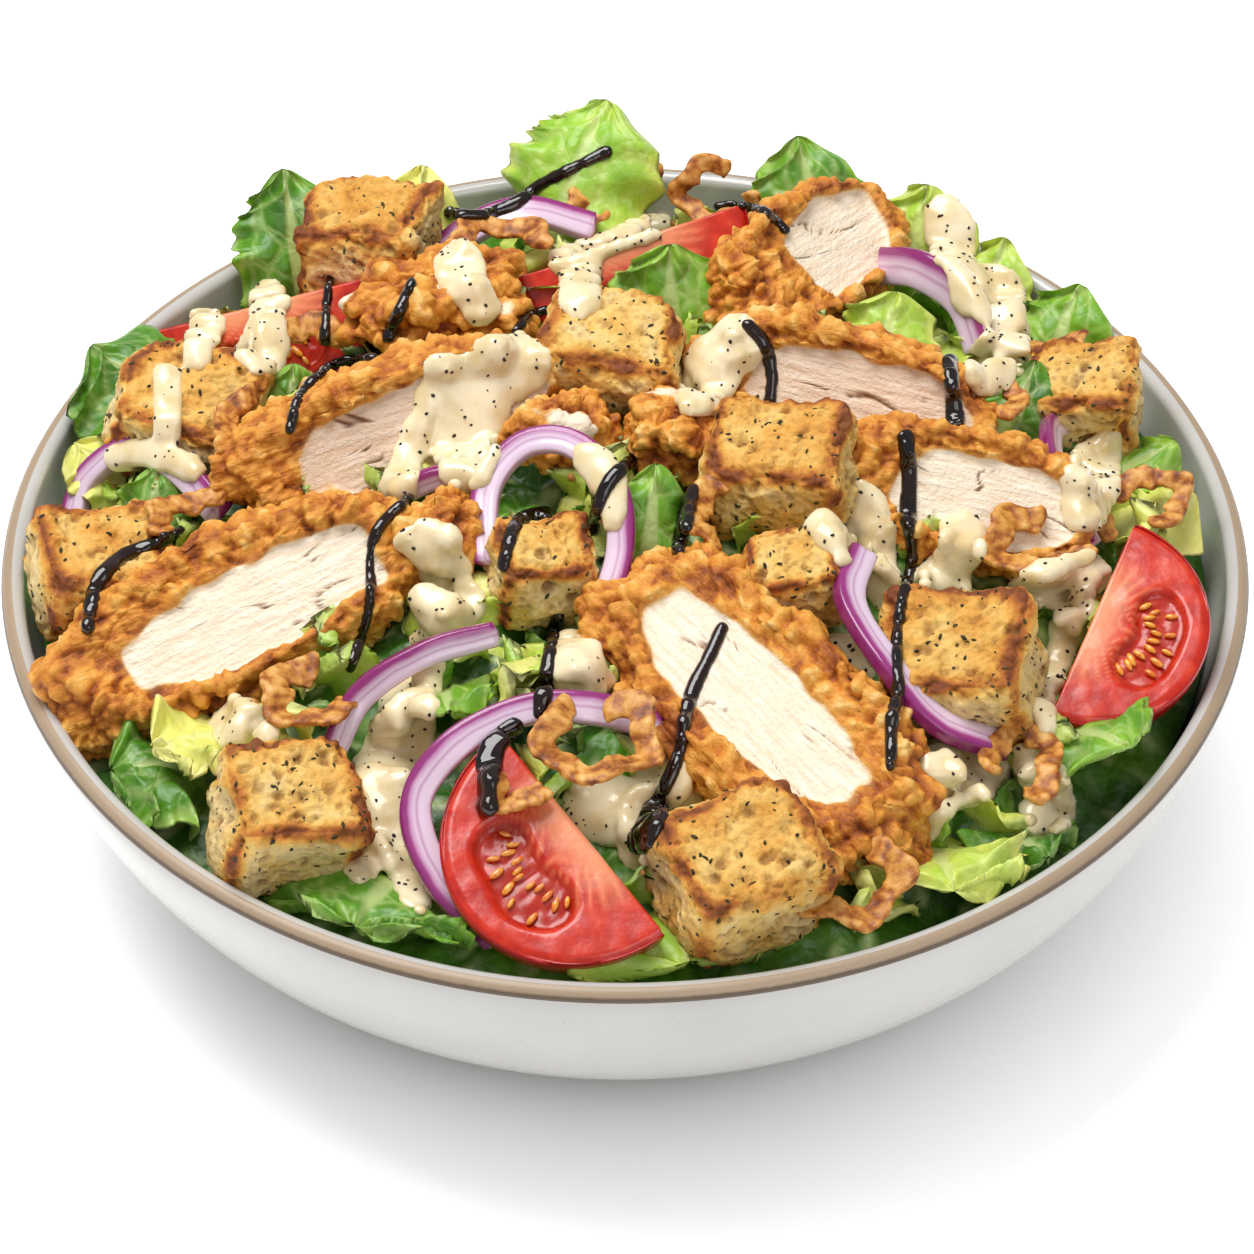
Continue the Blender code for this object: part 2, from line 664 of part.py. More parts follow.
def core_profile():
    """Half section of the packed leaves: up from the bowl's floor along its wall, then over the top."""
    floor = BASE_HEIGHT + FLOOR_THICKNESS
    wall = []
    for height in side_heights(floor):
        if height < BED_EDGE_HEIGHT - CORE_DROP:
            wall.append((inner_radius(height) - CORE_GAP, height + CORE_GAP))
    top = []
    for ring in range(CORE_RINGS):
        radius = (BED_EDGE_RADIUS - 1) * (1 - ring / CORE_RINGS)
        top.append((radius, bed_height(radius, 0.0) - CORE_DROP))
    return [(0.0, floor + CORE_GAP)] + wall[::-1] + top + [(0.0, BED_CENTRE_HEIGHT - CORE_DROP)]


def leaf_bed(collection, surface, toppings, bowl):
    """Packed salad with the leaves and dressing that show, fused, and hollowed where toppings sit."""
    bed = turned("lettuce_heap", core_profile()[::-1], CORE_SEGMENTS, collection, surface)
    apply_modifiers(bed)
    for vertex in bed.data.vertices:
        x, y, z = vertex.co / MM
        if z > BED_EDGE_HEIGHT - CORE_DROP:
            vertex.co.z += CORE_LUMP * MM * lumpiness((x, y, 0.0), CORE_LUMP_SIZE, CORE_SEED)
    sprouts = bpy.data.collections.new("sprouts")
    bpy.context.scene.collection.children.link(sprouts)
    for row in LEAVES:
        lettuce_leaf(row, sprouts)
    for centre, size in POOLS:
        dressing_pool(centre, size, sprouts)
    join = bed.modifiers.new("Join", "BOOLEAN")
    join.operation = "UNION"
    join.operand_type = "COLLECTION"
    join.collection = sprouts
    join.solver = "MANIFOLD"
    apply_modifiers(bed)
    keep_largest_body(bed)
    simplify = bed.modifiers.new("Simplify", "DECIMATE")
    simplify.ratio = BED_DETAIL
    apply_modifiers(bed)
    for piece in list(sprouts.objects):
        bpy.data.objects.remove(piece)
    bpy.data.collections.remove(sprouts)
    bed.data.materials.clear()
    bed.data.materials.append(surface)
    cut_clear(bed, toppings + [bowl], GAP)
    return bed


def grown_copy(source, growth):
    """Closed copy of an object, larger by a small distance all round, with its placement applied."""
    depsgraph = bpy.context.evaluated_depsgraph_get()
    builder = bmesh.new()
    builder.from_object(source, depsgraph)
    bmesh.ops.transform(builder, matrix=source.matrix_world, verts=builder.verts)
    builder.normal_update()
    offsets = [vertex.normal * growth * min(vertex.calc_shell_factor(), SHELL_LIMIT)
               for vertex in builder.verts]
    for vertex, offset in zip(builder.verts, offsets):
        vertex.co += offset
    mesh = bpy.data.meshes.new("grown")
    builder.to_mesh(mesh)
    builder.free()
    made = bpy.data.objects.new("grown", mesh)
    bpy.context.scene.collection.objects.link(made)
    return made


def world_box(target):
    """Lowest and highest corner of an object in world space."""
    corners = [target.matrix_world @ Vector(corner) for corner in target.bound_box]
    low = Vector([min(corner[axis] for corner in corners) for axis in range(3)])
    high = Vector([max(corner[axis] for corner in corners) for axis in range(3)])
    return low, high


def boxes_meet(first, second):
    """Whether the boxes of two objects overlap."""
    low_a, high_a = world_box(first)
    low_b, high_b = world_box(second)
    return all(low_a[axis] < high_b[axis] and low_b[axis] < high_a[axis] for axis in range(3))


def cut_clear(target, neighbours, gap):
    """Cut an object by slightly grown copies of the pieces it would touch."""
    bpy.context.view_layer.update()
    for neighbour in neighbours:
        cutter = grown_copy(neighbour, gap * MM)
        bpy.context.view_layer.update()
        if boxes_meet(target, cutter):
            cut = target.modifiers.new("Clear", "BOOLEAN")
            cut.operation = "DIFFERENCE"
            cut.object = cutter
            cut.solver = "MANIFOLD"
            apply_modifiers(target)
        bpy.data.objects.remove(cutter)
    keep_largest_body(target)


def main():
    """Build the bowl, the toppings in order of what lies on top, and the leaf bed round them."""
    for old in list(bpy.data.objects):
        bpy.data.objects.remove(old)
    salad = bpy.data.collections.new("chicken_caesar_salad")
    bpy.context.scene.collection.children.link(salad)
    crust = material(*CRUST)
    toast = material(*TOAST)
    bowl = turned("bowl", bowl_profile(), BOWL_STEPS, salad, material(*GLAZE))
    onion = material(*ONION)
    tomato = material(*TOMATO)
    thin = [onion_arc(row, salad, onion) for row in ONIONS]
    thin += [fried_onion(row, salad, crust) for row in SHREDS]
    placed = [bowl]
    for piece in thin:
        cut_clear(piece, placed, THIN_GAP)
        placed.append(piece)
    big = [chicken_slice(row, salad, crust) for row in CHICKEN]
    big += [tomato_wedge(row, salad, tomato) for row in TOMATOES]
    big += [crouton(row, salad, toast) for row in CROUTONS]
    big += [crust_nugget(row, salad, crust) for row in NUGGETS]
    for piece in big:
        cut_clear(piece, placed, GAP)
        placed.append(piece)
    leaf_bed(salad, material(*LETTUCE), placed[1:], bowl)


if __name__ == "__main__":
    main()
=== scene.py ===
"""Looks of a chicken caesar salad in its stoneware bowl, laid out as a Blender add-on and run as a script.

Tables of pieces are in millimetres and degrees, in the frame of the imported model. The photographed front
faces -Y. Routes of poured sauce are places in the photograph, which is 1254 pixels wide and high.
"""

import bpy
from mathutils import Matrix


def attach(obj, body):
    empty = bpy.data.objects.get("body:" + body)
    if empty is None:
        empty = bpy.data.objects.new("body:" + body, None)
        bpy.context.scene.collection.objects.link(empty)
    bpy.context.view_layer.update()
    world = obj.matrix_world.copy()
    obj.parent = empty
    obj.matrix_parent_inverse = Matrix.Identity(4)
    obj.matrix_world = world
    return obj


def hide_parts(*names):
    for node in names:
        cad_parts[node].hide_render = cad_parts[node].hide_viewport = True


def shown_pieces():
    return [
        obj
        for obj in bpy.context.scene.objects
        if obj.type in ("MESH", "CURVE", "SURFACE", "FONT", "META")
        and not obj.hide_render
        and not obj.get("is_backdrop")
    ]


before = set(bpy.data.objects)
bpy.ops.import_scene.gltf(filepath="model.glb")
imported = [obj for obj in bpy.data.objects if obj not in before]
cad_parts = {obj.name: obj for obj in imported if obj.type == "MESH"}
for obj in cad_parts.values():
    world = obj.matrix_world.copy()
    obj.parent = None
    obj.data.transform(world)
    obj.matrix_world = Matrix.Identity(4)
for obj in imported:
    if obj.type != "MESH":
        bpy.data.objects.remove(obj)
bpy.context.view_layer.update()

import math
import random
from typing import NamedTuple

import bmesh
import bpy
from mathutils import Euler, Matrix, Vector, noise
from mathutils.bvhtree import BVHTree

bl_info = {
    "name": "Chicken caesar salad",
    "version": (1, 0, 0),
    "blender": (4, 5, 0),
    "location": "View3D > Sidebar > Salad",
    "description": "Fried chicken salad with croutons, tomato, onion and dressing in a bowl",
    "category": "Add Mesh",
}

MM = 0.001
ROOT = "root"

# Bowl, as the solid
RIM_RADIUS = 125.0
BOWL_HEIGHT = 66.0
BASE_RADIUS = 64.0
BASE_HEIGHT = 1.2
FOOT_OUTER_RADIUS = 60.0
FOOT_INNER_RADIUS = 54.0
FOOT_RECESS = 2.5
WALL = 4.6
LIP_RADIUS = 2.0
FLOOR_THICKNESS = 6.5
SIDE_BULGE = 1.47
SIDE_ROUNDNESS = 2.1
SIDE_POINTS = 28
LIP_POINTS = 10
GLAZED_LIP_POINTS = 4
FOOT_EASE = 0.6
THROWN_WAVER = 0.0022
THROWN_LENGTH = 40
THROWN_RADIUS = 60
RIM_LINE_DEPTH = 1.4
RIM_LINE_BLUR = 0.8

# Bed of leaves, as the solid
BED_EDGE_RADIUS = 112.0
BED_EDGE_HEIGHT = 57.0
BED_CENTRE_HEIGHT = 79.0
CORE_DROP = 2.5
CORE_GAP = 0.9
CORE_WALL_STEPS = 12
CORE_TOP_RINGS = 56
CORE_STEPS = 300
LEAF_ROOT = 6.0
LEAF_REACH = 122.5

# Leaves that show
LEAF_TIP_SHARE = 0.2
LEAF_PUCKER = 1.5
PUCKER_LENGTH = 7.5
PUCKER_WIDTH = 5.0
SIDE_VEIN_SPACING = 7.5
SCRAP_LENGTH = 14
SCRAP_HALF_WIDTH = 7.0

# Chicken slice, with rings as share of the outline and height, and the steps from each ring to the next
SLICE_THICKNESS = 19.0
SLICE_RINGS = ((0.0, 0.0), (0.42, 0.2), (0.66, 0.0), (0.84, 1.8), (1.0, -2.4), (1.02, -9.5), (0.86, -16.0),
               (0.5, -19.0), (0.0, -19.0))
SLICE_CUTS = (9, 8, 8, 14, 17, 13, 9, 3)
MEAT_LAST_RING = 3.7
MEAT_SQUARENESS = 2.6

# Knobs of fried crust, each as size, share of the drift, step of the seed and share of the height
CRAGS = ((4.6, 1.0, 0, 0.5), (2.3, 0.5, 7, 0.34), (1.4, 1.0, 9, 0.16))
CRAG_DRIFT = 1.4
CRAG_DRIFT_LENGTH = 4.0

# Seed of the noise vector that bends the crust's knobs, which is the time of day where none is set
CRAG_SEED = 7

# Crouton, with its pores' spacing
CUBE_SQUARENESS = 5.5
HOLE_SPACING = 4.6
PORE_SPACING = 1.7

# Tomato, with each row of seeds as their number, share of the radius and first angle
FACE_CELLS = 34
PEEL_CELLS = 26
POCKET_REACH = 0.56
POCKET_HALF_WIDTH = 0.215
POCKET_HALF_TURN = 50
SEED_ROWS = ((11, 0.5, 44), (5, 0.66, 60))
SEED_SIZE = (1.6, 0.65, 0.6)
SEED_DEPTH = 1.1

# Onions, with the share of the length in which an end closes
ARC_SQUARENESS = 0.45
ARC_STEPS = 40
ARC_END = 0.012
SHRED_SQUARENESS = 0.6
SHRED_STEPS = 26
SHRED_END = 0.03
SHRED_THICKNESS = 2.2

# Poured sauce
PIXEL_SIZE = 0.2
LOWEST_SAUCE = 30.0
POUR_WAVER = 0.7
POUR_WAVER_LENGTH = 42.0
EDGE_WAVER_LENGTH = 16.0
SMOOTHING = 0.6

# Camera of the photograph
PHOTO_WIDTH = 1254
PHOTO_MIDDLE = 627
CAMERA_AIM = (0.0004, -0.0257, 0.066)
CAMERA_DISTANCE = 0.95
CAMERA_ELEVATION = 42.5156
CAMERA_LENS = 138.46
SENSOR_WIDTH = 36.0

# Floor's painted shadow under the bowl, as radii in metres, and the strength of its painted glow outside it
SHADE_START = 0.084
SHADE_END = 0.126
FLOOR_GLOW = 0.45

# Lights: place and width in metres
KEY_PLACE = (-0.28, 0.22, 1.20)
KEY_WIDTH = 0.8
FILL_PLACE = (0.5, -0.9, 0.9)
FILL_WIDTH = 0.7
LIT_PLACE = (0.0, 0.0, 0.05)


class Slice(NamedTuple):
    """Fried chicken slice: centre of its cut face, turn, size, and where the meat shows on the face."""

    name: str
    centre: tuple
    yaw: float
    pitch: float
    tilt: float
    size: tuple
    meat_middle: tuple
    meat_reach: tuple
    tan: float


class Lump(NamedTuple):
    """Crouton or crust nugget: centre, turn and full size along its own axes."""

    name: str
    centre: tuple
    turn: tuple
    size: tuple


class Wedge(NamedTuple):
    """Tomato wedge: middle of its core edge, turn of the cut face, length, radius and opening angle."""

    name: str
    centre: tuple
    yaw: float
    pitch: float
    tilt: float
    length: float
    radius: float
    opening: float


class Band(NamedTuple):
    """Onion arc: a route through its middle line, with the band's width and thickness."""

    name: str
    route: tuple
    width: float
    thickness: float


class Shred(NamedTuple):
    """Fried onion: centre, turn, full size of the oval it follows, part of that oval and band width."""

    name: str
    centre: tuple
    turn: tuple
    size: tuple
    sweep: float
    width: float


class Leaf(NamedTuple):
    """Lettuce leaf: root, tip, width, ruffle, cross curl, paleness and edge frill; 0 is dark and 1 yellow."""

    root: tuple
    tip: tuple
    width: float
    ruffle: float
    curl: float
    pale: float
    frill: float


class Pour(NamedTuple):
    """Poured sauce: width in mm and its route over the photograph in pixels."""

    width: float
    route: tuple


class Drop(NamedTuple):
    """How a sauce lies: pixels between drops, then in mm reach, thickness at edge and middle, gap it bridges.

    waver is how ragged its edge is and dry names the pieces that it runs behind.
    """

    step: float
    reach: float
    thin: float
    thick: float
    bridge: float
    waver: float
    dry: tuple


CHICKEN = (
    Slice("chicken_slice_front", (25, -63, 83), -48, -11, 14, (80, 36, 19), (-0.02, -0.08), (0.76, 0.54), 0),
    Slice("chicken_slice_left", (-77, -36, 80), 23, 16, 26, (78, 32, 19), (0.14, -0.16), (0.70, 0.60), 0),
    Slice("chicken_slice_centre", (-46, 9, 88), 20, 9, 48, (72, 25, 20), (0.16, -0.14), (0.76, 0.72), 0.6),
    Slice("chicken_slice_back", (40, 73, 82), 52, -8, 34, (54, 28, 20), (0.30, -0.05), (0.58, 0.72), 0.1),
    Slice("chicken_slice_right", (43, 21, 88), -16, -6, 46, (60, 25, 19), (0.14, -0.12), (0.78, 0.74), 0.6),
    Slice("chicken_slice_side", (68, -6, 84), -9, -10, 36, (50, 27, 18), (0.16, -0.10), (0.74, 0.70), 0.3),
)

NUGGETS = (
    Lump("crust_nugget_back", (-38, 55, 82), (0, 0, 12), (38, 25, 18)),
    Lump("crust_nugget_centre", (-12, 7, 89), (0, 0, 20), (21, 15, 15)),
    Lump("crust_nugget_middle", (10, 6, 89), (0, 0, -25), (19, 17, 15)),
    Lump("crust_nugget_left", (-36, -20, 86), (0, 0, 35), (18, 15, 13)),
)

CROUTONS = (
    Lump("crouton_front_left", (-63, -82, 70), (14, -6, 12), (27, 25, 23)),
    Lump("crouton_front", (21, -99, 71), (16, 4, 24), (29, 26, 24)),
    Lump("crouton_front_right", (64, -49, 77), (14, 8, -12), (29, 26, 23)),
    Lump("crouton_centre_back", (-3, 31, 87), (4, -4, -8), (28, 25, 22)),
    Lump("crouton_centre_right", (31, -4, 88), (6, 6, -10), (29, 25, 20)),
    Lump("crouton_left", (-89, 29, 74), (10, -8, -14), (30, 26, 21)),
    Lump("crouton_back_left", (-54, 84, 75), (-4, 10, -16), (29, 25, 23)),
    Lump("crouton_far_left", (-104, -15, 69), (6, -8, 14), (26, 25, 22)),
    Lump("crouton_far_right", (94, 38, 71), (8, 8, -10), (24, 21, 19)),
    Lump("crouton_centre_left", (-16, -28, 83), (8, -6, 12), (20, 18, 18)),
    Lump("crouton_centre_front", (33, -31, 84), (12, 8, 8), (19, 17, 17)),
)

TOMATOES = (
    Wedge("tomato_wedge_front", (-8, -94, 77), 131, 20, -16, 50, 27, 84),
    Wedge("tomato_wedge_right", (91, -34, 76), 246, -16, -8, 47, 23, 84),
    Wedge("tomato_wedge_back_left", (-76, 62, 77), 181, -17, -38, 50, 23, 84),
    Wedge("tomato_wedge_back", (1, 72, 86), 202, -5, -38, 52, 24, 84),
)

ONIONS = (
    Band("onion_arc_left",
         ((-113, 12, 58), (-110, 20, 65), (-101, 20, 73), (-90, 11, 76), (-80, -3, 75)), 6.0, 3.4),
    Band("onion_arc_back_left",
         ((-42, 78, 72), (-34, 90, 74), (-21, 95, 76), (-6, 93, 73)), 7.0, 3.4),
    Band("onion_arc_centre",
         ((-27, -28, 84), (-27, -14, 91), (-20, -7, 97), (-10, -9, 99), (-2, -18, 95), (-1, -29, 88),
          (-5, -40, 81)), 5.6, 3.2),
    Band("onion_arc_front_left",
         ((-56, -66, 70), (-50, -58, 78), (-38, -53, 84), (-24, -48, 85)), 5.2, 3.2),
    Band("onion_arc_front",
         ((-23, -108, 62), (-35, -96, 68), (-39, -84, 75), (-31, -75, 82), (-17, -69, 85), (-2, -68, 83),
          (7, -68, 78)), 6.2, 3.4),
    Band("onion_arc_right",
         ((46, -28, 88), (43, -42, 88), (50, -57, 85), (60, -66, 78), (73, -65, 71)), 6.2, 3.4),
    Band("onion_arc_back_right",
         ((54, 79, 74), (62, 71, 79), (70, 63, 78), (74, 52, 73)), 8.0, 3.4),
    Band("onion_arc_far_right",
         ((90, 34, 68), (86, 20, 77), (87, 2, 79), (93, -9, 72)), 5.6, 3.2),
    Band("onion_arc_middle",
         ((-45, -7, 84), (-37, -6, 88), (-28, -6, 88)), 4.6, 3.0),
)

SHREDS = (
    Shred("fried_onion_ring_front", (-5, -79, 87), (8, 0, 10), (19, 17), 330, 4.0),
    Shred("fried_onion_shred_front", (-18, -86, 83), (20, 0, 40), (15, 7), 170, 3.4),
    Shred("fried_onion_ring_right", (41, -99, 71), (18, 0, -20), (19, 17), 300, 4.0),
    Shred("fried_onion_curl_left", (-59, -57, 78), (8, 0, 30), (16, 13), 260, 4.0),
    Shred("fried_onion_curl_right", (75, -71, 73), (12, 0, 80), (19, 11), 280, 3.6),
    Shred("fried_onion_curl_back_right", (86, 57, 73), (0, 0, -20), (17, 11), 270, 4.0),
    Shred("fried_onion_ring_far_right", (103, 3, 73), (10, 10, 20), (18, 12), 320, 3.2),
    Shred("fried_onion_curl_side", (81, -17, 81), (12, 0, 10), (17, 13), 280, 3.8),
    Shred("fried_onion_shred_far_back", (2, 103, 74), (20, 0, 20), (28, 8), 180, 3.6),
    Shred("fried_onion_ring_far_back", (20, 103, 75), (50, 0, -10), (16, 12), 300, 3.0),
    Shred("fried_onion_curl_back", (-26, 72, 85), (0, 0, -10), (18, 14), 280, 3.6),
    Shred("fried_onion_curl_near_right", (73, 21, 84), (10, 0, 60), (18, 10), 250, 3.4),
    Shred("fried_onion_shred_left", (-84, -7, 80), (0, 0, 20), (18, 8), 180, 3.2),
    Shred("fried_onion_curl_far_left", (-76, 13, 85), (10, 0, 80), (18, 8), 200, 3.4),
    Shred("fried_onion_curl_centre", (19, -19, 91), (10, 0, 70), (18, 9), 230, 3.6),
    Shred("fried_onion_curl_tomato", (-66, 46, 79), (20, 0, 10), (14, 10), 240, 4.0),
)

LEAVES = (
    Leaf((-68, 76), (-73, 97, 86), 26, 3.0, 3.0, 0.22, 2.2),
    Leaf((-88, 40), (-111, 49, 76), 34, 3.0, 3.0, 0.22, 2.6),
    Leaf((-17, 92), (-4, 119, 88), 34, 2.5, 5.0, 0.55, 1.6),
    Leaf((-43, 94), (-44, 109, 78), 16, 2.5, 2.0, 0.95, 2.0),
    Leaf((44, 96), (37, 114, 82), 24, 2.5, 3.0, 0.34, 1.6),
    Leaf((60, 86), (65, 102, 78), 26, 3.0, 2.0, 0.66, 2.6),
    Leaf((76, 76), (81, 90, 73), 18, 2.5, 2.0, 0.64, 2.4),
    Leaf((88, 58), (96, 74, 73), 22, 2.5, 2.0, 0.42, 2.2),
    Leaf((10, 50), (9, 62, 93), 26, 2.5, 2.0, 0.42, 2.4),
    Leaf((4, -29), (6, -11, 96), 15, 2.0, 2.0, 0.36, 1.6),
    Leaf((-97, 16), (-113, 28, 68), 18, 2.0, 2.0, 0.92, 1.4),
    Leaf((-96, -6), (-94, 12, 76), 16, 2.0, 2.0, 0.32, 1.8),
    Leaf((-68, -52), (-90, -66, 72), 24, 3.0, 2.0, 0.95, 2.8),
    Leaf((-78, -60), (-98, -66, 66), 30, 3.0, 3.0, 0.24, 2.6),
    Leaf((-41, -86), (-50, -107, 65), 46, 3.0, 3.0, 0.30, 2.6),
    Leaf((57, -76), (61, -101, 69), 34, 3.0, 2.0, 0.74, 3.0),
    Leaf((80, -50), (96, -68, 74), 28, 2.5, 3.0, 0.38, 1.8),
    Leaf((70, -72), (79, -89, 65), 22, 2.5, 2.0, 0.16, 2.2),
    Leaf((94, 4), (115, 9, 71), 24, 3.0, 2.0, 0.92, 2.4),
    Leaf((92, 18), (113, 27, 69), 16, 2.0, 2.0, 0.42, 1.8),
    Leaf((-36, -45), (-33, -67, 82), 18, 2.0, 2.0, 0.42, 2.0),
    Leaf((-18, -38), (-9, -59, 85), 24, 2.5, 3.0, 0.70, 2.4),
    Leaf((52, 40), (56, 59, 83), 22, 2.5, 3.0, 0.66, 2.0),
    Leaf((76, 20), (84, 39, 81), 15, 2.0, 2.0, 0.22, 1.8),
    Leaf((6, -92), (12, -114, 63), 50, 2.5, 2.0, 0.58, 2.4),
    Leaf((-68, 22), (-68, 38, 81), 14, 2.0, 2.0, 0.34, 1.6),
)

DRESSING = (
    Pour(12, ((430, 650), (412, 690), (403, 730))),
    Pour(16, ((403, 735), (398, 775), (396, 815), (398, 850))),
    Pour(9, ((398, 850), (408, 880), (418, 900))),
    Pour(8, ((372, 800), (365, 845), (362, 868))),
    Pour(13, ((595, 805), (630, 815), (662, 800))),
    Pour(13, ((665, 790), (705, 785), (750, 805), (785, 835))),
    Pour(8, ((620, 825), (640, 850))),
    Pour(15, ((912, 770), (945, 762), (975, 772))),
    Pour(10, ((945, 785), (925, 812), (910, 838))),
    Pour(8, ((1075, 610), (1062, 650), (1042, 690))),
    Pour(9, ((1040, 690), (1036, 740), (1046, 785), (1048, 812))),
    Pour(15, ((848, 518), (868, 548), (882, 585))),
    Pour(10, ((882, 585), (898, 618))),
    Pour(12, ((430, 556), (438, 590), (450, 606))),
    Pour(11, ((236, 712), (250, 742), (262, 768))),
    Pour(12, ((450, 383), (480, 370), (518, 366))),
    Pour(11, ((490, 385), (470, 430), (466, 462))),
    Pour(7, ((430, 400), (412, 445), (395, 495))),
    Pour(9, ((945, 215), (952, 240), (965, 275), (972, 292))),
    Pour(10, ((985, 290), (1005, 305), (1010, 340), (990, 368))),
    Pour(10, ((1108, 440), (1095, 470), (1085, 508))),
    Pour(7, ((208, 325), (199, 345), (195, 362))),
    Pour(9, ((268, 300), (266, 325), (262, 352))),
    Pour(8, ((582, 262), (580, 285), (580, 300))),
    Pour(6, ((660, 224), (610, 242), (560, 262))),
    Pour(7, ((165, 378), (168, 405), (166, 432))),
    Pour(10, ((964, 538), (950, 570), (935, 592))),
    Pour(10, ((575, 655), (590, 690), (640, 708))),
    Pour(9, ((458, 262), (468, 285), (480, 305))),
    Pour(6, ((118, 458), (150, 453), (190, 468))),
    Pour(7, ((588, 455), (605, 480), (612, 515))),
    Pour(12, ((735, 345), (715, 365), (704, 392))),
    Pour(9, ((838, 650), (850, 680), (862, 705))),
    Pour(9, ((1035, 590), (1060, 580), (1085, 575))),
)

BALSAMIC = (
    Pour(2.4, ((606, 152), (585, 162), (540, 185), (512, 205), (480, 215), (450, 213))),
    Pour(1.9, ((330, 278), (326, 310), (325, 342))),
    Pour(2.2, ((412, 282), (400, 310), (388, 337))),
    Pour(1.9, ((374, 358), (340, 362), (315, 378), (298, 400), (290, 430))),
    Pour(2.9, ((180, 532), (150, 545), (125, 555), (103, 575), (92, 600), (88, 628))),
    Pour(1.9, ((410, 498), (385, 520), (372, 545), (370, 600), (360, 640), (350, 668))),
    Pour(2.9, ((545, 514), (520, 520), (508, 545), (504, 565))),
    Pour(2.4, ((630, 462), (612, 478), (600, 500), (592, 530))),
    Pour(3.0, ((558, 618), (550, 650), (546, 680), (540, 712))),
    Pour(4.6, ((514, 728), (494, 745), (488, 775), (487, 806))),
    Pour(2.4, ((722, 628), (710, 655), (695, 685), (685, 715), (680, 750), (668, 780), (655, 805))),
    Pour(5.6, ((655, 812), (648, 828), (640, 842))),
    Pour(3.2, ((906, 438), (909, 480), (908, 520))),
    Pour(2.2, ((908, 520), (912, 560), (902, 600), (897, 640), (898, 690), (892, 720), (890, 765))),
    Pour(3.2, ((950, 362), (952, 390), (955, 420))),
    Pour(2.4, ((748, 325), (765, 345), (772, 375), (770, 400))),
    Pour(1.9, ((785, 230), (765, 212), (735, 205), (715, 207))),
    Pour(2.9, ((692, 490), (685, 520), (678, 550))),
    Pour(1.7, ((515, 332), (530, 315), (555, 308))),
)


DRESSING_DROP = Drop(5.0, 1.8, 0.7, 1.9, 5.0, 0.4, (
    "crouton_front", "crouton_front_left", "crouton_front_right", "crouton_centre_right", "onion_arc_front",
    "onion_arc_front_left", "onion_arc_right", "tomato_wedge_front", "chicken_slice_front",
    "chicken_slice_left", "fried_onion_ring_front", "fried_onion_curl_left", "fried_onion_curl_right",
    "fried_onion_ring_right"))
BALSAMIC_DROP = Drop(2.0, 1.15, 0.75, 1.25, 2.2, 0.08, ())


def linear(code):
    """Linear colour with full opacity from an sRGB hex code."""
    values = [int(code[place:place + 2], 16) / 255 for place in (1, 3, 5)]
    shares = [value / 12.92 if value <= 0.04045 else ((value + 0.055) / 1.055) ** 2.4 for value in values]
    return (*shares, 1.0)


def clamp(value):
    """Value kept between 0 and 1."""
    return max(0.0, min(1.0, value))


def smooth_step(start, end, value):
    """0 before start, 1 after end and an even ease between them."""
    share = clamp((value - start) / (end - start))
    return share * share * (3 - 2 * share)


def lumpiness(place, scale, seed):
    """Smooth noise between about -1 and 1 for a place in mm."""
    return noise.noise(Vector(place) / scale + Vector((seed * 3.7, seed * 1.3, seed * 2.1)))


def knob(place, size, seed):
    """Rounded bumps that meet in sharp creases, 0 in a crease and 1 on a bump, for a place in mm."""
    near = noise.voronoi(Vector(place) / size + Vector((seed * 1.9, seed * 0.7, seed * 2.3)))[0][0]
    return max(0.0, 1 - (near / 0.78) ** 2)


def seed_of(name):
    """Number from a piece's name, so that each piece has its own form."""
    return sum(ord(letter) for letter in name) % 97


def side_radius(height):
    """Outer radius of the bowl's side at a height, in mm."""
    drop = clamp((BOWL_HEIGHT - LIP_RADIUS - height) / (BOWL_HEIGHT - LIP_RADIUS - BASE_HEIGHT))
    return BASE_RADIUS + (RIM_RADIUS - BASE_RADIUS) * (1 - drop ** SIDE_BULGE) ** (1 / SIDE_ROUNDNESS)


def inner_radius(height):
    """Inner radius of the bowl at a height, in mm."""
    floor = BASE_HEIGHT + FLOOR_THICKNESS
    drop = clamp((BOWL_HEIGHT - LIP_RADIUS - height) / (BOWL_HEIGHT - LIP_RADIUS - floor))
    return BASE_RADIUS - WALL + (RIM_RADIUS - BASE_RADIUS) * (1 - drop ** SIDE_BULGE) ** (1 / SIDE_ROUNDNESS)


def bed_height(x, y):
    """Height of the leaf bed at a place, in mm."""
    share = math.hypot(x, y) / BED_EDGE_RADIUS
    return BED_EDGE_HEIGHT + (BED_CENTRE_HEIGHT - BED_EDGE_HEIGHT) * (1 - share ** 2)


def placement(centre, yaw, pitch, tilt):
    """Matrix in mm; pitch raises the +X end and tilt turns +Z to -Y."""
    turn = Euler((math.radians(tilt), math.radians(-pitch), math.radians(yaw)))
    return Matrix.Translation(centre) @ turn.to_matrix().to_4x4()


def lump_placement(row):
    """Matrix in mm for a lump or shred."""
    tilt, pitch, yaw = row.turn
    return placement(row.centre, yaw, pitch, tilt)


def new_layers(builder, *names):
    """Values that each vertex carries, 0 until they are set."""
    return [builder.verts.layers.float.new(name) for name in names]


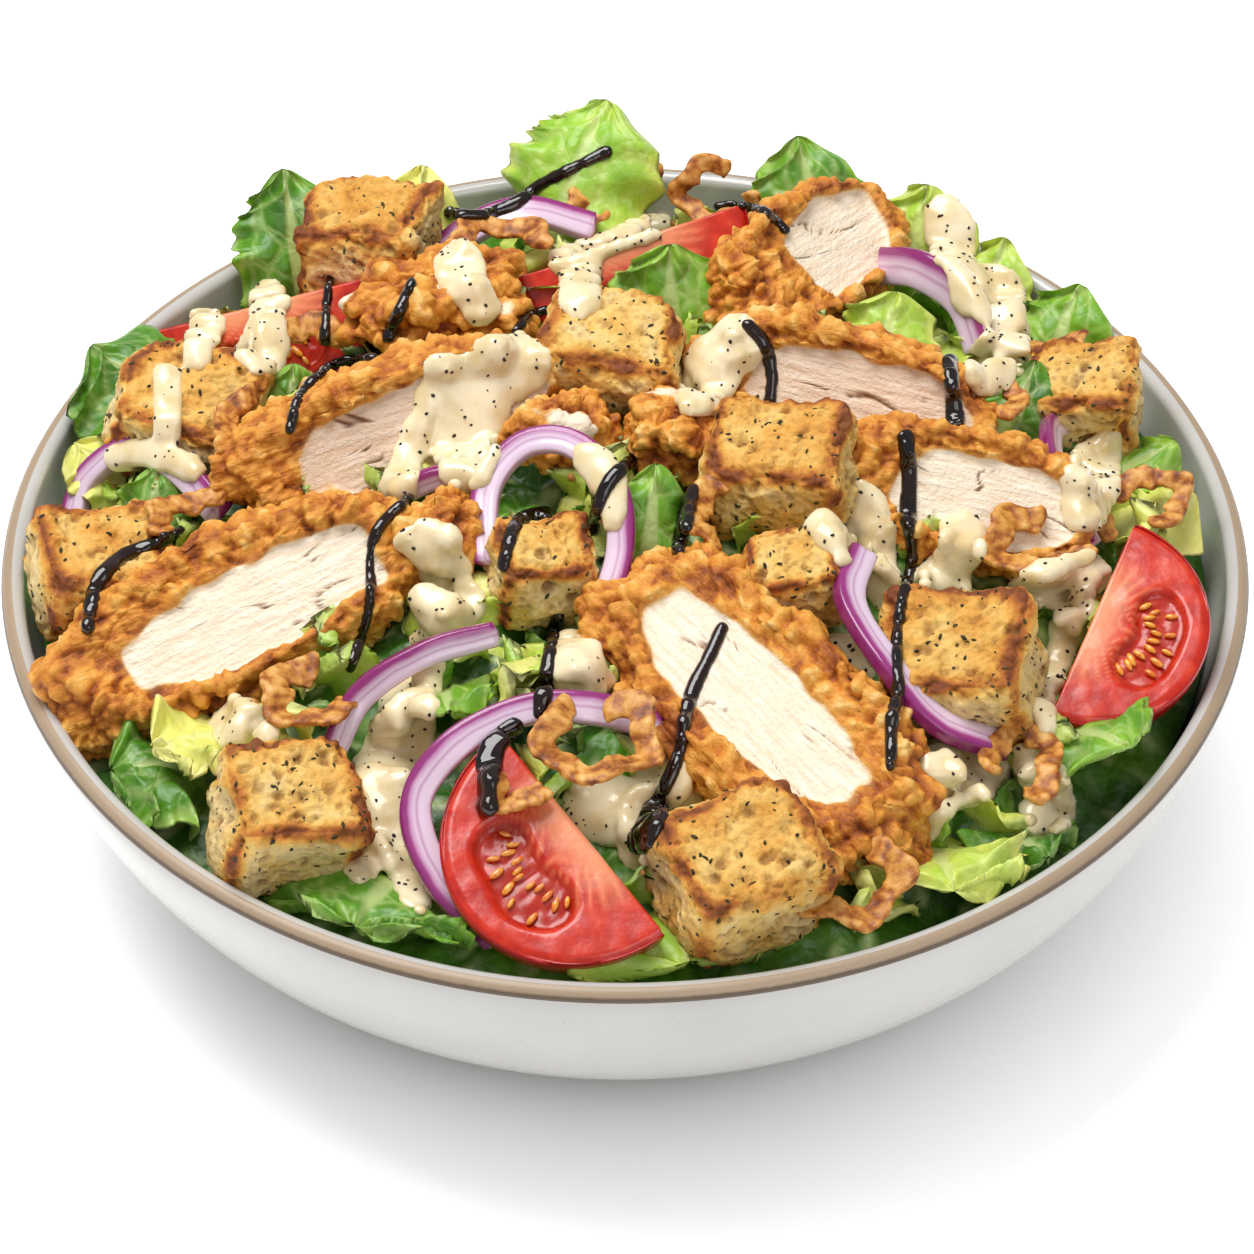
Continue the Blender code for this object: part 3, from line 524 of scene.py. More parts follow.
def skin_over(spot, rows, columns):
    """Closed mesh over a grid of places in mm, with each vertex's shares kept as along and across.

    spot gives a place from two shares between 0 and 1. The last column joins the first, and places that
    meet become one.
    """
    builder = bmesh.new()
    along, across = new_layers(builder, "along", "across")
    grid = []
    for row in range(rows + 1):
        line = []
        for column in range(columns):
            vertex = builder.verts.new(spot(row / rows, column / columns))
            vertex[along] = row / rows
            vertex[across] = column / columns
            line.append(vertex)
        grid.append(line)
    for row in range(rows):
        for column in range(columns):
            ahead = (column + 1) % columns
            builder.faces.new((grid[row][column], grid[row][ahead],
                               grid[row + 1][ahead], grid[row + 1][column]))
    bmesh.ops.remove_doubles(builder, verts=builder.verts, dist=0.001)
    bmesh.ops.recalc_face_normals(builder, faces=builder.faces)
    return builder


def raise_relief(builder, height):
    """Move each vertex along its normal by what height gives for it, in mm."""
    builder.normal_update()
    moves = [vertex.normal * height(vertex) for vertex in builder.verts]
    for vertex, move in zip(builder.verts, moves):
        vertex.co += move


def add_object(name, data):
    """Object in the scene for a mesh, light or camera."""
    made = bpy.data.objects.new(name, data)
    bpy.context.scene.collection.objects.link(made)
    return made


def mesh_object(name, builder, surfaces, place=None):
    """Object at the origin from a bmesh in mm."""
    if place:
        bmesh.ops.transform(builder, matrix=place, verts=builder.verts)
    bmesh.ops.scale(builder, vec=(MM, MM, MM), verts=builder.verts)
    mesh = bpy.data.meshes.new(name)
    builder.to_mesh(mesh)
    builder.free()
    mesh.shade_smooth()
    for surface in surfaces:
        mesh.materials.append(surface)
    return add_object(name, mesh)


def dress(piece, slot, *nodes):
    """Let a piece ride on the salad's one body and stand for CAD nodes; slot is not used."""
    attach(piece, ROOT)
    if nodes:
        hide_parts(*nodes)
    return piece


def dressed_piece(row, slot, builder, surfaces, place=None):
    """Piece from a bmesh in mm that stands for the solid of a row."""
    return dress(mesh_object(row.name + "_dressed", builder, surfaces, place), slot, row.name)


def settle(piece):
    """Replace an object's mesh by its evaluated one and drop its modifiers."""
    surfaces = list(piece.data.materials)
    bpy.context.view_layer.update()
    depsgraph = bpy.context.evaluated_depsgraph_get()
    mesh = bpy.data.meshes.new_from_object(piece.evaluated_get(depsgraph))
    piece.modifiers.clear()
    piece.data = mesh
    if not mesh.materials:
        for surface in surfaces:
            mesh.materials.append(surface)
    return piece


# Materials

def add_node(tree, kind, settings=None, inputs=None):
    """Add a node; an input given as an output socket is linked, any other is a value."""
    made = tree.nodes.new(kind)
    for name, value in (settings or {}).items():
        if name == "stops":
            ramp = made.color_ramp
            while len(ramp.elements) < len(value):
                ramp.elements.new(0.5)
            for element, (position, shade) in zip(ramp.elements, value):
                element.position = position
                element.color = linear(shade) if isinstance(shade, str) else shade
        else:
            setattr(made, name, value)
    for name, value in (inputs or {}).items():
        if isinstance(value, bpy.types.NodeSocket):
            tree.links.new(value, made.inputs[name])
        else:
            made.inputs[name].default_value = value
    return made


def new_material(name, values):
    """Material with a Principled shader; gives the material, its tree, its shader and Object coordinates."""
    made = bpy.data.materials.new(name)
    made.use_nodes = True
    tree = made.node_tree
    shader = tree.nodes["Principled BSDF"]
    for socket, value in values.items():
        shader.inputs[socket].default_value = value
    place = add_node(tree, "ShaderNodeTexCoord").outputs["Object"]
    return made, tree, shader, place


def per_mm(size):
    """Scale of a pattern whose features are this many mm apart."""
    return 1 / (size * MM)


RAMP = "ShaderNodeValToRGB"
NOISE = "ShaderNodeTexNoise"
CELLS = "ShaderNodeTexVoronoi"
MATHS = "ShaderNodeMath"
MIX = "ShaderNodeMix"
VALUE = "ShaderNodeAttribute"
BUMP = "ShaderNodeBump"
COLOURS = {"data_type": "RGBA"}


def sum_of(tree, first, second, share, offset):
    """Socket of first plus share times second plus offset, kept between 0 and 1."""
    scaled = add_node(tree, MATHS, {"operation": "MULTIPLY_ADD"}, {0: second, 1: share, 2: offset})
    total = add_node(tree, MATHS, {"operation": "ADD", "use_clamp": True}, {0: first, 1: scaled.outputs[0]})
    return total.outputs[0]


def paint(tree, shader, base, relief=None, strength=0.0, depth=0.0):
    """Link a colour to a shader and, where there is relief, a bump of this depth in metres."""
    tree.links.new(base, shader.inputs["Base Color"])
    if relief is not None:
        bump = add_node(tree, BUMP, {}, {"Height": relief, "Strength": strength, "Distance": depth})
        tree.links.new(bump.outputs[0], shader.inputs["Normal"])


def glazed_stoneware(look):
    """Stoneware under a glossy off-white glaze: a hard smooth coat with faint clouds and some iron specks."""
    made, tree, shader, place = new_material("glazed_stoneware", {"Roughness": 0.16, "Coat Weight": 0.35,
                                                                  "Coat Roughness": 0.05})
    clouds = add_node(tree, NOISE, {}, {"Vector": place, "Scale": per_mm(38), "Detail": 3.0})
    base = add_node(tree, RAMP, {"stops": ((0.3, look.glaze), (0.75, look.glaze_shadow))},
                    {0: clouds.outputs[0]})
    specks = add_node(tree, CELLS, {}, {"Vector": place, "Scale": per_mm(4.2)})
    dots = add_node(tree, RAMP, {"stops": ((0.05, "#FFFFFF"), (0.09, "#000000"))},
                    {0: specks.outputs["Distance"]})
    faint = add_node(tree, MATHS, {"operation": "MULTIPLY"}, {0: dots.outputs[0], 1: 0.35})
    mixed = add_node(tree, MIX, COLOURS, {0: faint.outputs[0], 6: base.outputs[0], 7: look.speck})
    paint(tree, shader, mixed.outputs[2], clouds.outputs[0], 0.12, 0.0008)
    return made


def bare_rim(look):
    """Bare stoneware where the glaze was wiped from the lip: matt tan clay with darker grog."""
    made, tree, shader, place = new_material("bare_clay_rim", {"Roughness": 0.38})
    grog = add_node(tree, NOISE, {}, {"Vector": place, "Scale": per_mm(2.6), "Detail": 5.0, "Roughness": 0.7})
    height = add_node(tree, "ShaderNodeSeparateXYZ", {}, {0: place}).outputs["Z"]
    lift = add_node(tree, "ShaderNodeMapRange", {},
                    {0: height, 1: (BOWL_HEIGHT - RIM_LINE_DEPTH) * MM,
                     2: (BOWL_HEIGHT - RIM_LINE_DEPTH + RIM_LINE_BLUR) * MM}).outputs[0]
    tone = sum_of(tree, lift, grog.outputs[0], 0.5, -0.25)
    base = add_node(tree, RAMP, {"stops": ((0.2, look.rim_shadow), (0.75, look.rim))}, {0: tone})
    paint(tree, shader, base.outputs[0], grog.outputs[0], 0.3, 0.0003)
    return made


def fried_crust(name, look, tan):
    """Fried batter crust round chicken meat: rough, slightly oily, pale on the meat and with painted shade in
    its creases.

    Attribute ridge is 0 in a crease and 1 on a knob, painting shade into creases and a highlight onto knobs;
    meat is 1 on the cut face, and the map grain runs in centimetres along and across the meat's fibres.
    """
    made, tree, shader, place = new_material(name, {"Roughness": 0.5, "Subsurface Weight": 0.06,
                                                    "Subsurface Radius": (1.0, 0.6, 0.3),
                                                    "Subsurface Scale": 0.002, "Specular IOR Level": 0.35})
    ridge = add_node(tree, VALUE, {"attribute_name": "ridge"}).outputs["Fac"]
    meat = add_node(tree, VALUE, {"attribute_name": "meat"}).outputs["Fac"]
    grain = add_node(tree, "ShaderNodeUVMap", {"uv_map": "grain"}).outputs[0]
    patches = add_node(tree, NOISE, {}, {"Vector": place, "Scale": per_mm(11), "Detail": 2.0})
    crumbs = add_node(tree, NOISE, {}, {"Vector": place, "Scale": per_mm(1.1), "Detail": 3.0,
                                        "Roughness": 0.65})
    # Painted shade and highlight: the ridge darkens the crust in its creases and lightens it on its knobs.
    tone = sum_of(tree, sum_of(tree, ridge, patches.outputs[0], 0.7, -0.35), crumbs.outputs[0], 0.5, -0.25)
    crust = add_node(tree, RAMP, {"stops": ((0.0, look.crust_dark), (0.26, "#A6581A"), (0.54, look.crust),
                                            (0.78, "#E8A84A"), (1.0, look.crust_tip_highlight))}, {0: tone})
    fibres = add_node(tree, "ShaderNodeMapping", {}, {"Vector": grain, "Scale": (1.2, 9.0, 1.0)})
    strands = add_node(tree, NOISE, {}, {"Vector": fibres.outputs[0], "Scale": 1.0, "Detail": 4.0,
                                         "Roughness": 0.6, "Distortion": 0.4})
    pale = ("#F0DCC8", "#E8CDB4", "#DCB896") if tan else (look.meat, "#F6E4CB", "#EACFAD")
    flesh = add_node(tree, RAMP, {"stops": ((0.25, pale[2]), (0.48, pale[1]), (0.65, pale[0]))},
                     {0: strands.outputs[0]})
    # Painted shade: the meat is coloured dark brown in its splits.
    split = add_node(tree, VALUE, {"attribute_name": "split"}).outputs["Fac"]
    torn = add_node(tree, MIX, COLOURS, {0: split, 6: flesh.outputs[0], 7: linear("#8A5A36")})
    edge = add_node(tree, RAMP, {"stops": ((0.1, "#000000"), (0.5, "#808080"), (0.86, "#FFFFFF"))}, {0: meat})
    batter = add_node(tree, MIX, COLOURS, {0: edge.outputs[0], 6: crust.outputs[0], 7: linear("#F0C778")})
    whole = add_node(tree, RAMP, {"stops": ((0.5, "#000000"), (0.9, "#FFFFFF"))}, {0: meat})
    mixed = add_node(tree, MIX, COLOURS, {0: whole.outputs[0], 6: batter.outputs[2], 7: torn.outputs[2]})
    height = add_node(tree, MATHS, {"operation": "ADD"}, {0: crumbs.outputs[0], 1: strands.outputs[0]})
    paint(tree, shader, mixed.outputs[2], height.outputs[0], 0.8, 0.0006)
    return made


def toasted_bread(look):
    """Toasted bread crumb: dry and porous, yellow where buttered and brown along its edges.

    Attribute toast is 0 on a face and 1 on an edge, and pore is 1 inside a hole, where a shade is painted.
    """
    made, tree, shader, place = new_material("toasted_bread", {"Roughness": 0.72, "Subsurface Weight": 0.08,
                                                              "Subsurface Radius": (1.0, 0.6, 0.3),
                                                              "Subsurface Scale": 0.0015})
    toast = add_node(tree, VALUE, {"attribute_name": "toast"}).outputs["Fac"]
    pore = add_node(tree, VALUE, {"attribute_name": "pore"}).outputs["Fac"]
    patches = add_node(tree, NOISE, {}, {"Vector": place, "Scale": per_mm(8), "Detail": 3.0})
    crumb = add_node(tree, NOISE, {}, {"Vector": place, "Scale": per_mm(1.2), "Detail": 4.0,
                                       "Roughness": 0.7})
    tone = sum_of(tree, sum_of(tree, toast, patches.outputs[0], 1.0, -0.5), crumb.outputs[0], 0.5, -0.25)
    crust = add_node(tree, RAMP, {"stops": ((0.0, look.crumb), (0.22, "#E9BF69"), (0.46, look.toast),
                                            (0.72, "#B86B20"), (1.0, look.scorch))}, {0: tone})
    # Painted shade: the crumb is darkened to brown inside its pores.
    depth = add_node(tree, MATHS, {"operation": "MULTIPLY"}, {0: pore, 1: 0.75})
    mixed = add_node(tree, MIX, COLOURS, {0: depth.outputs[0], 6: crust.outputs[0], 7: linear("#84521E")})
    holes = add_node(tree, CELLS, {}, {"Vector": place, "Scale": per_mm(1.5)})
    height = add_node(tree, MATHS, {"operation": "ADD"}, {0: holes.outputs["Distance"], 1: crumb.outputs[0]})
    paint(tree, shader, mixed.outputs[2], height.outputs[0], 0.7, 0.0007)
    return made


def cut_tomato(look):
    """Ripe tomato: wet cut flesh with gel pockets, and a waxy skin.

    Attribute skin is 1 on the peel, gel is 1 in a seed pocket, and heart is 1 at the core.
    """
    made, tree, shader, place = new_material("cut_tomato", {"Roughness": 0.27, "Subsurface Weight": 0.12,
                                                           "Subsurface Radius": (1.0, 0.2, 0.1),
                                                           "Subsurface Scale": 0.002, "Coat Weight": 0.2,
                                                           "Coat Roughness": 0.05})
    skin = add_node(tree, VALUE, {"attribute_name": "skin"}).outputs["Fac"]
    gel = add_node(tree, VALUE, {"attribute_name": "gel"}).outputs["Fac"]
    heart = add_node(tree, VALUE, {"attribute_name": "heart"}).outputs["Fac"]
    ray = add_node(tree, VALUE, {"attribute_name": "ray"}).outputs["Fac"]
    mottle = add_node(tree, NOISE, {}, {"Vector": place, "Scale": per_mm(3.5), "Detail": 4.0})
    wall = add_node(tree, RAMP, {"stops": ((0.3, "#B01A0A"), (0.55, look.flesh), (0.78, "#DD4A2C"))},
                    {0: mottle.outputs[0]})
    lines = add_node(tree, MIX, COLOURS, {0: ray, 6: wall.outputs[0], 7: linear("#EE8158")})
    pale = add_node(tree, MIX, COLOURS, {0: heart, 6: lines.outputs[2], 7: linear("#F5A273")})
    pocket = add_node(tree, MIX, COLOURS, {0: gel, 6: pale.outputs[2], 7: look.gel})
    peel = add_node(tree, MIX, COLOURS, {0: skin, 6: pocket.outputs[2], 7: look.peel})
    paint(tree, shader, peel.outputs[2], mottle.outputs[0], 0.25, 0.0006)
    return made


def tomato_seed(look):
    """Tomato seed in its jelly: straw yellow and wet."""
    made, tree, shader, place = new_material("tomato_seed", {"Roughness": 0.15, "Coat Weight": 0.6})
    mottle = add_node(tree, NOISE, {}, {"Vector": place, "Scale": per_mm(1.6), "Detail": 2.0})
    base = add_node(tree, RAMP, {"stops": ((0.3, "#DE6A1E"), (0.6, look.seed))}, {0: mottle.outputs[0]})
    paint(tree, shader, base.outputs[0])
    return made


def red_onion(look):
    """Sliced red onion: pale watery layers with a thin purple skin, wet and glossy.

    Attribute layer runs from 0 at the inner edge to 1 at the outer skin.
    """
    made, tree, shader, place = new_material("red_onion", {"Roughness": 0.2, "Subsurface Weight": 0.3,
                                                          "Subsurface Radius": (0.9, 0.6, 0.8),
                                                          "Subsurface Scale": 0.0025, "Coat Weight": 0.4,
                                                          "Coat Roughness": 0.06})
    layer = add_node(tree, VALUE, {"attribute_name": "layer"}).outputs["Fac"]
    waver = add_node(tree, NOISE, {}, {"Vector": place, "Scale": per_mm(7), "Detail": 2.0})
    tone = sum_of(tree, layer, waver.outputs[0], 0.16, -0.08)
    base = add_node(tree, RAMP, {"stops": ((0.0, "#C39ABB"), (0.08, look.layers), (0.40, look.layers),
                                           (0.48, "#C79CBE"), (0.56, look.layers), (0.70, "#C995BC"),
                                           (0.79, "#9A3A80"), (1.0, look.skin))}, {0: tone})
    paint(tree, shader, base.outputs[0], waver.outputs[0], 0.2, 0.0006)
    return made


def fried_onion_crisp(look):
    """Crisp fried onion: thin, rough and oily, tan with scorched spots and painted shade in its creases."""
    made, tree, shader, place = new_material("fried_onion_crisp", {"Roughness": 0.48})
    patches = add_node(tree, NOISE, {}, {"Vector": place, "Scale": per_mm(3.4), "Detail": 5.0,
                                         "Roughness": 0.7})
    ridge = add_node(tree, VALUE, {"attribute_name": "ridge"}).outputs["Fac"]
    # Painted shade and highlight: the ridge darkens the crisp in its creases and lightens it on its knobs.
    tone = sum_of(tree, patches.outputs[0], ridge, 0.35, -0.17)
    base = add_node(tree, RAMP, {"stops": ((0.25, "#6E3510"), (0.42, "#A9621F"), (0.58, look.crisp),
                                           (0.8, "#E9BA6E"))}, {0: tone})
    paint(tree, shader, base.outputs[0], patches.outputs[0], 0.6, 0.0006)
    return made


def lettuce(look):
    """Fresh lettuce: thin waxy leaf with pale veins, from dark green to yellow.

    Attribute pale is 0 on a dark leaf and 1 on a yellow one and holds a painted highlight on leaf edges;
    vein is 1 on a rib.
    """
    made, tree, shader, place = new_material("lettuce", {"Roughness": 0.4, "Subsurface Weight": 0.12,
                                                        "Subsurface Radius": (0.7, 1.0, 0.2),
                                                        "Subsurface Scale": 0.003})
    pale = add_node(tree, VALUE, {"attribute_name": "pale"}).outputs["Fac"]
    vein = add_node(tree, VALUE, {"attribute_name": "vein"}).outputs["Fac"]
    patches = add_node(tree, NOISE, {}, {"Vector": place, "Scale": per_mm(7), "Detail": 4.0})
    tone = sum_of(tree, pale, patches.outputs[0], 0.36, -0.18)
    base = add_node(tree, RAMP, {"stops": ((0.0, look.dark), (0.22, "#558F1C"), (0.45, look.green),
                                           (0.7, "#C8D958"), (1.0, look.yellow))}, {0: tone})
    cells = add_node(tree, CELLS, {"feature": "DISTANCE_TO_EDGE"}, {"Vector": place, "Scale": per_mm(3.2)})
    net = add_node(tree, RAMP, {"stops": ((0.0, "#4D4D4D"), (0.09, "#000000"))}, {0: cells.outputs[0]})
    ribs = add_node(tree, MATHS, {"operation": "MAXIMUM"}, {0: vein, 1: net.outputs[0]})
    share = add_node(tree, MATHS, {"operation": "MULTIPLY"}, {0: ribs.outputs[0], 1: 0.62})
    mixed = add_node(tree, MIX, COLOURS, {0: share.outputs[0], 6: base.outputs[0], 7: look.rib})
    paint(tree, shader, mixed.outputs[2], cells.outputs[0], 0.5, 0.0008)
    return made


def cream_dressing(look):
    """Creamy dressing of egg, oil and cheese: thick, opaque ivory with a wet gloss."""
    made, tree, shader, place = new_material("cream_dressing", {"Roughness": 0.22, "Subsurface Weight": 0.3,
                                                               "Subsurface Radius": (1.0, 0.8, 0.5),
                                                               "Subsurface Scale": 0.002, "Coat Weight": 0.4,
                                                               "Coat Roughness": 0.08})
    swirl = add_node(tree, NOISE, {}, {"Vector": place, "Scale": per_mm(6), "Detail": 3.0})
    base = add_node(tree, RAMP, {"stops": ((0.3, look.cream_shadow), (0.6, look.cream))},
                    {0: swirl.outputs[0]})
    paint(tree, shader, base.outputs[0])
    return made


def balsamic_glaze(look):
    """Reduced balsamic vinegar: a syrup, nearly black with a red-brown edge and a mirror gloss."""
    made, tree, shader, place = new_material("balsamic_glaze", {"Roughness": 0.04, "Coat Weight": 0.4,
                                                               "Coat Roughness": 0.02})
    swirl = add_node(tree, NOISE, {}, {"Vector": place, "Scale": per_mm(5), "Detail": 1.0})
    base = add_node(tree, RAMP, {"stops": ((0.3, look.syrup), (0.75, "#220B06"))}, {0: swirl.outputs[0]})
    paint(tree, shader, base.outputs[0])
    return made


def dry_fleck(name, dark, light, roughness):
    """Dry ground spice, herb or crumb: matt, with each grain a little different."""
    made, tree, shader, place = new_material(name, {"Roughness": roughness})
    grains = add_node(tree, NOISE, {}, {"Vector": place, "Scale": per_mm(2.0), "Detail": 2.0})
    base = add_node(tree, RAMP, {"stops": ((0.35, dark), (0.65, light))}, {0: grains.outputs[0]})
    paint(tree, shader, base.outputs[0])
    return made


def studio_white():
    """Matt white studio floor with a painted glow that fades out under the bowl into a painted shadow."""
    made, tree, shader, place = new_material("studio_white", {"Roughness": 0.9, "Specular IOR Level": 0.1,
                                                             "Emission Strength": FLOOR_GLOW})
    clouds = add_node(tree, NOISE, {}, {"Vector": place, "Scale": 2.0})
    base = add_node(tree, RAMP, {"stops": ((0.3, "#F6F6F6"), (0.7, "#F8F8F8"))}, {0: clouds.outputs[0]})
    # Painted shadow: the floor's glow fades out towards the bowl's middle, between these radii.
    reach = add_node(tree, "ShaderNodeVectorMath", {"operation": "LENGTH"}, {0: place}).outputs["Value"]
    glow = add_node(tree, RAMP, {"stops": ((SHADE_START, "#000000"), (SHADE_END, "#FFFFFF"))}, {0: reach})
    tree.links.new(glow.outputs[0], shader.inputs["Emission Color"])
    paint(tree, shader, base.outputs[0])
    return made


# Pieces

def make_bowl(look):
    """Turned bowl with a rounded lip, glazed all over but for the lip and foot."""
    floor = BASE_HEIGHT + FLOOR_THICKNESS
    top = BOWL_HEIGHT - LIP_RADIUS
    profile = [(0.0, floor)]
    for index in range(SIDE_POINTS, -1, -1):
        height = top + (floor - top) * math.sin(0.5 * math.pi * index / SIDE_POINTS)
        profile.append((inner_radius(height), height))
    bare_start = len(profile) + GLAZED_LIP_POINTS
    for index in range(1, LIP_POINTS):
        angle = math.pi * (1 - index / LIP_POINTS)
        profile.append((RIM_RADIUS - WALL / 2 + WALL / 2 * math.cos(angle),
                        top + LIP_RADIUS * math.sin(angle)))
    lip_end = len(profile)
    for index in range(SIDE_POINTS + 1):
        height = top + (BASE_HEIGHT - top) * math.sin(0.5 * math.pi * index / SIDE_POINTS)
        profile.append((side_radius(height), height))
    foot_start = len(profile)
    profile += [(FOOT_OUTER_RADIUS, 0.3), (FOOT_OUTER_RADIUS - FOOT_EASE, 0.0),
                (FOOT_INNER_RADIUS + FOOT_EASE, 0.0), (FOOT_INNER_RADIUS, 0.4),
                (FOOT_INNER_RADIUS - 1, FOOT_RECESS), (0.0, FOOT_RECESS)]
    last = len(profile) - 1

    def spot(along, across):
        radius, height = profile[round(along * last)]
        angle = 2 * math.pi * across
        around = (THROWN_RADIUS * math.cos(angle), THROWN_RADIUS * math.sin(angle), height)
        reach = radius * (1 + THROWN_WAVER * lumpiness(around, THROWN_LENGTH, 3))
        return (reach * math.cos(angle), reach * math.sin(angle), height)

    builder = skin_over(spot, last, look.around)
    along = builder.verts.layers.float["along"]
    for face in builder.faces:
        share = sum(vertex[along] for vertex in face.verts) / len(face.verts) * last
        if bare_start < share < lip_end or foot_start < share < foot_start + 2:
            face.material_index = 1
    bowl = mesh_object("stoneware_bowl", builder, (glazed_stoneware(look), bare_rim(look)))
    dress(bowl, "stoneware", "bowl")


def crag_height(place, seed):
    """Fried crust's knobs at a place: big ones with small ones on them, 0 in the creases to 1 on top."""
    drift = noise.noise_vector(Vector(place) / CRAG_DRIFT_LENGTH) * CRAG_DRIFT
    return sum(share * knob(Vector(place) + drift * bend, size, seed + step)
               for size, bend, step, share in CRAGS)


def chicken_slice(row, look, crust):
    """Slice of fried chicken: flat meat with fibres and a few splits, and a knobbly crust round it."""
    steps = [index + cut / count for index, count in enumerate(SLICE_CUTS) for cut in range(count)]
    steps.append(len(SLICE_CUTS))
    length, width, depth = row.size
    seed = seed_of(row.name)
    last = len(steps) - 1

    def meat_at(x, y, ring):
        """1 on the bare meat, 0 on the crust."""
        if ring > MEAT_LAST_RING:
            return 0.0
        off_x = (x / (length / 2) - row.meat_middle[0]) / row.meat_reach[0]
        off_y = (y / (width / 2) - row.meat_middle[1]) / row.meat_reach[1]
        reach = (abs(off_x) ** MEAT_SQUARENESS + abs(off_y) ** MEAT_SQUARENESS) ** (1 / MEAT_SQUARENESS)
        return smooth_step(1.06, 0.9, reach + 0.16 * lumpiness((x, y, 0), 6, seed + 3))

    def spot(along, across):
        ring = steps[round(along * last)]
        index = min(int(ring), len(SLICE_CUTS) - 1)
        blend = ring - index
        inner, outer = SLICE_RINGS[index:index + 2]
        share = inner[0] * (1 - blend) + outer[0] * blend
        height = inner[1] * (1 - blend) + outer[1] * blend
        end, side = round_section(across, 0.8)
        flat = Vector((length / 2 * end, width / 2 * side, 0.0)) * share
        crag = lumpiness((flat.x, flat.y, height), 9.0, seed)
        flat *= 1 + 0.16 * crag * share
        rise = height * depth / SLICE_THICKNESS + 1.8 * crag * max(0.0, share - 0.66)
        if ring < 4:
            rise -= max(rise, 0.0) * meat_at(flat.x, flat.y, ring)
        return (flat.x, flat.y, rise)

    builder = skin_over(spot, last, look.around)
    along = builder.verts.layers.float["along"]
    ridge, meat, split = new_layers(builder, "ridge", "meat", "split")

    def height(vertex):
        ring = steps[round(vertex[along] * last)]
        bare = meat_at(vertex.co.x, vertex.co.y, ring)
        crag = crag_height(vertex.co, seed)
        swell = 0.85 + 0.9 * lumpiness(vertex.co, 7.0, seed + 5)
        fibre = lumpiness((vertex.co.x / 6.0, vertex.co.y, 0), 1.6, seed)
        tear = abs(lumpiness((vertex.co.x / 4.0, vertex.co.y + 0.12 * vertex.co.x, 0), 4.5, seed + 1))
        some = smooth_step(0.0, 0.25, lumpiness(vertex.co, 9, seed + 2))
        gash = bare * smooth_step(0.035, 0.0, tear) * some
        # The ridge also paints shade into the crust's creases and a highlight onto its knobs.
        vertex[ridge] = crag
        vertex[meat] = bare
        # split also sets the painted shade in the meat's splits.
        vertex[split] = gash
        crusty = look.knob_height * swell * (crag - 0.3)
        flaky = 0.5 * lumpiness(vertex.co, 1.2, seed + 6)
        return (1 - bare) * (crusty + flaky) + bare * (0.18 * fibre - 0.4 - 0.8 * gash)

    raise_relief(builder, height)
    grain = builder.loops.layers.uv.new("grain")
    for face in builder.faces:
        for loop in face.loops:
            loop[grain].uv = (loop.vert.co.x / 10, loop.vert.co.y / 10)
    dressed_piece(row, "fried_chicken", builder, (crust[row.tan > 0.5],),
                  placement(row.centre, row.yaw, row.pitch, row.tilt))


def crust_nugget(row, look, crust):
    """Knobbly lump of fried crust with a patch of meat showing."""
    seed = seed_of(row.name)

    def spot(along, across):
        tall, turn = math.pi * along, 2 * math.pi * across
        ball = Vector((math.sin(tall) * math.cos(turn), math.sin(tall) * math.sin(turn), math.cos(tall))) / 2
        swell = 1 + 0.45 * lumpiness(ball * Vector(row.size).length / 1.732, 6.0, seed)
        return Vector(row.size) * swell * ball

    builder = skin_over(spot, look.around // 4, look.around // 2)
    ridge, meat = new_layers(builder, "ridge", "meat")

    def height(vertex):
        crag = crag_height(vertex.co, seed)
        patch = smooth_step(0.25, 0.45, lumpiness(vertex.co, 9.0, seed + 4)) * clamp(vertex.co.z / 3)
        # The ridge also paints shade into the crust's creases and a highlight onto its knobs.
        vertex[ridge] = crag
        vertex[meat] = patch
        flaky = 0.5 * lumpiness(vertex.co, 1.2, seed + 6)
        return (look.knob_height * (crag - 0.35) + flaky) * (1 - 0.6 * patch)

    raise_relief(builder, height)
    dressed_piece(row, "fried_crust", builder, (crust[0],), lump_placement(row))


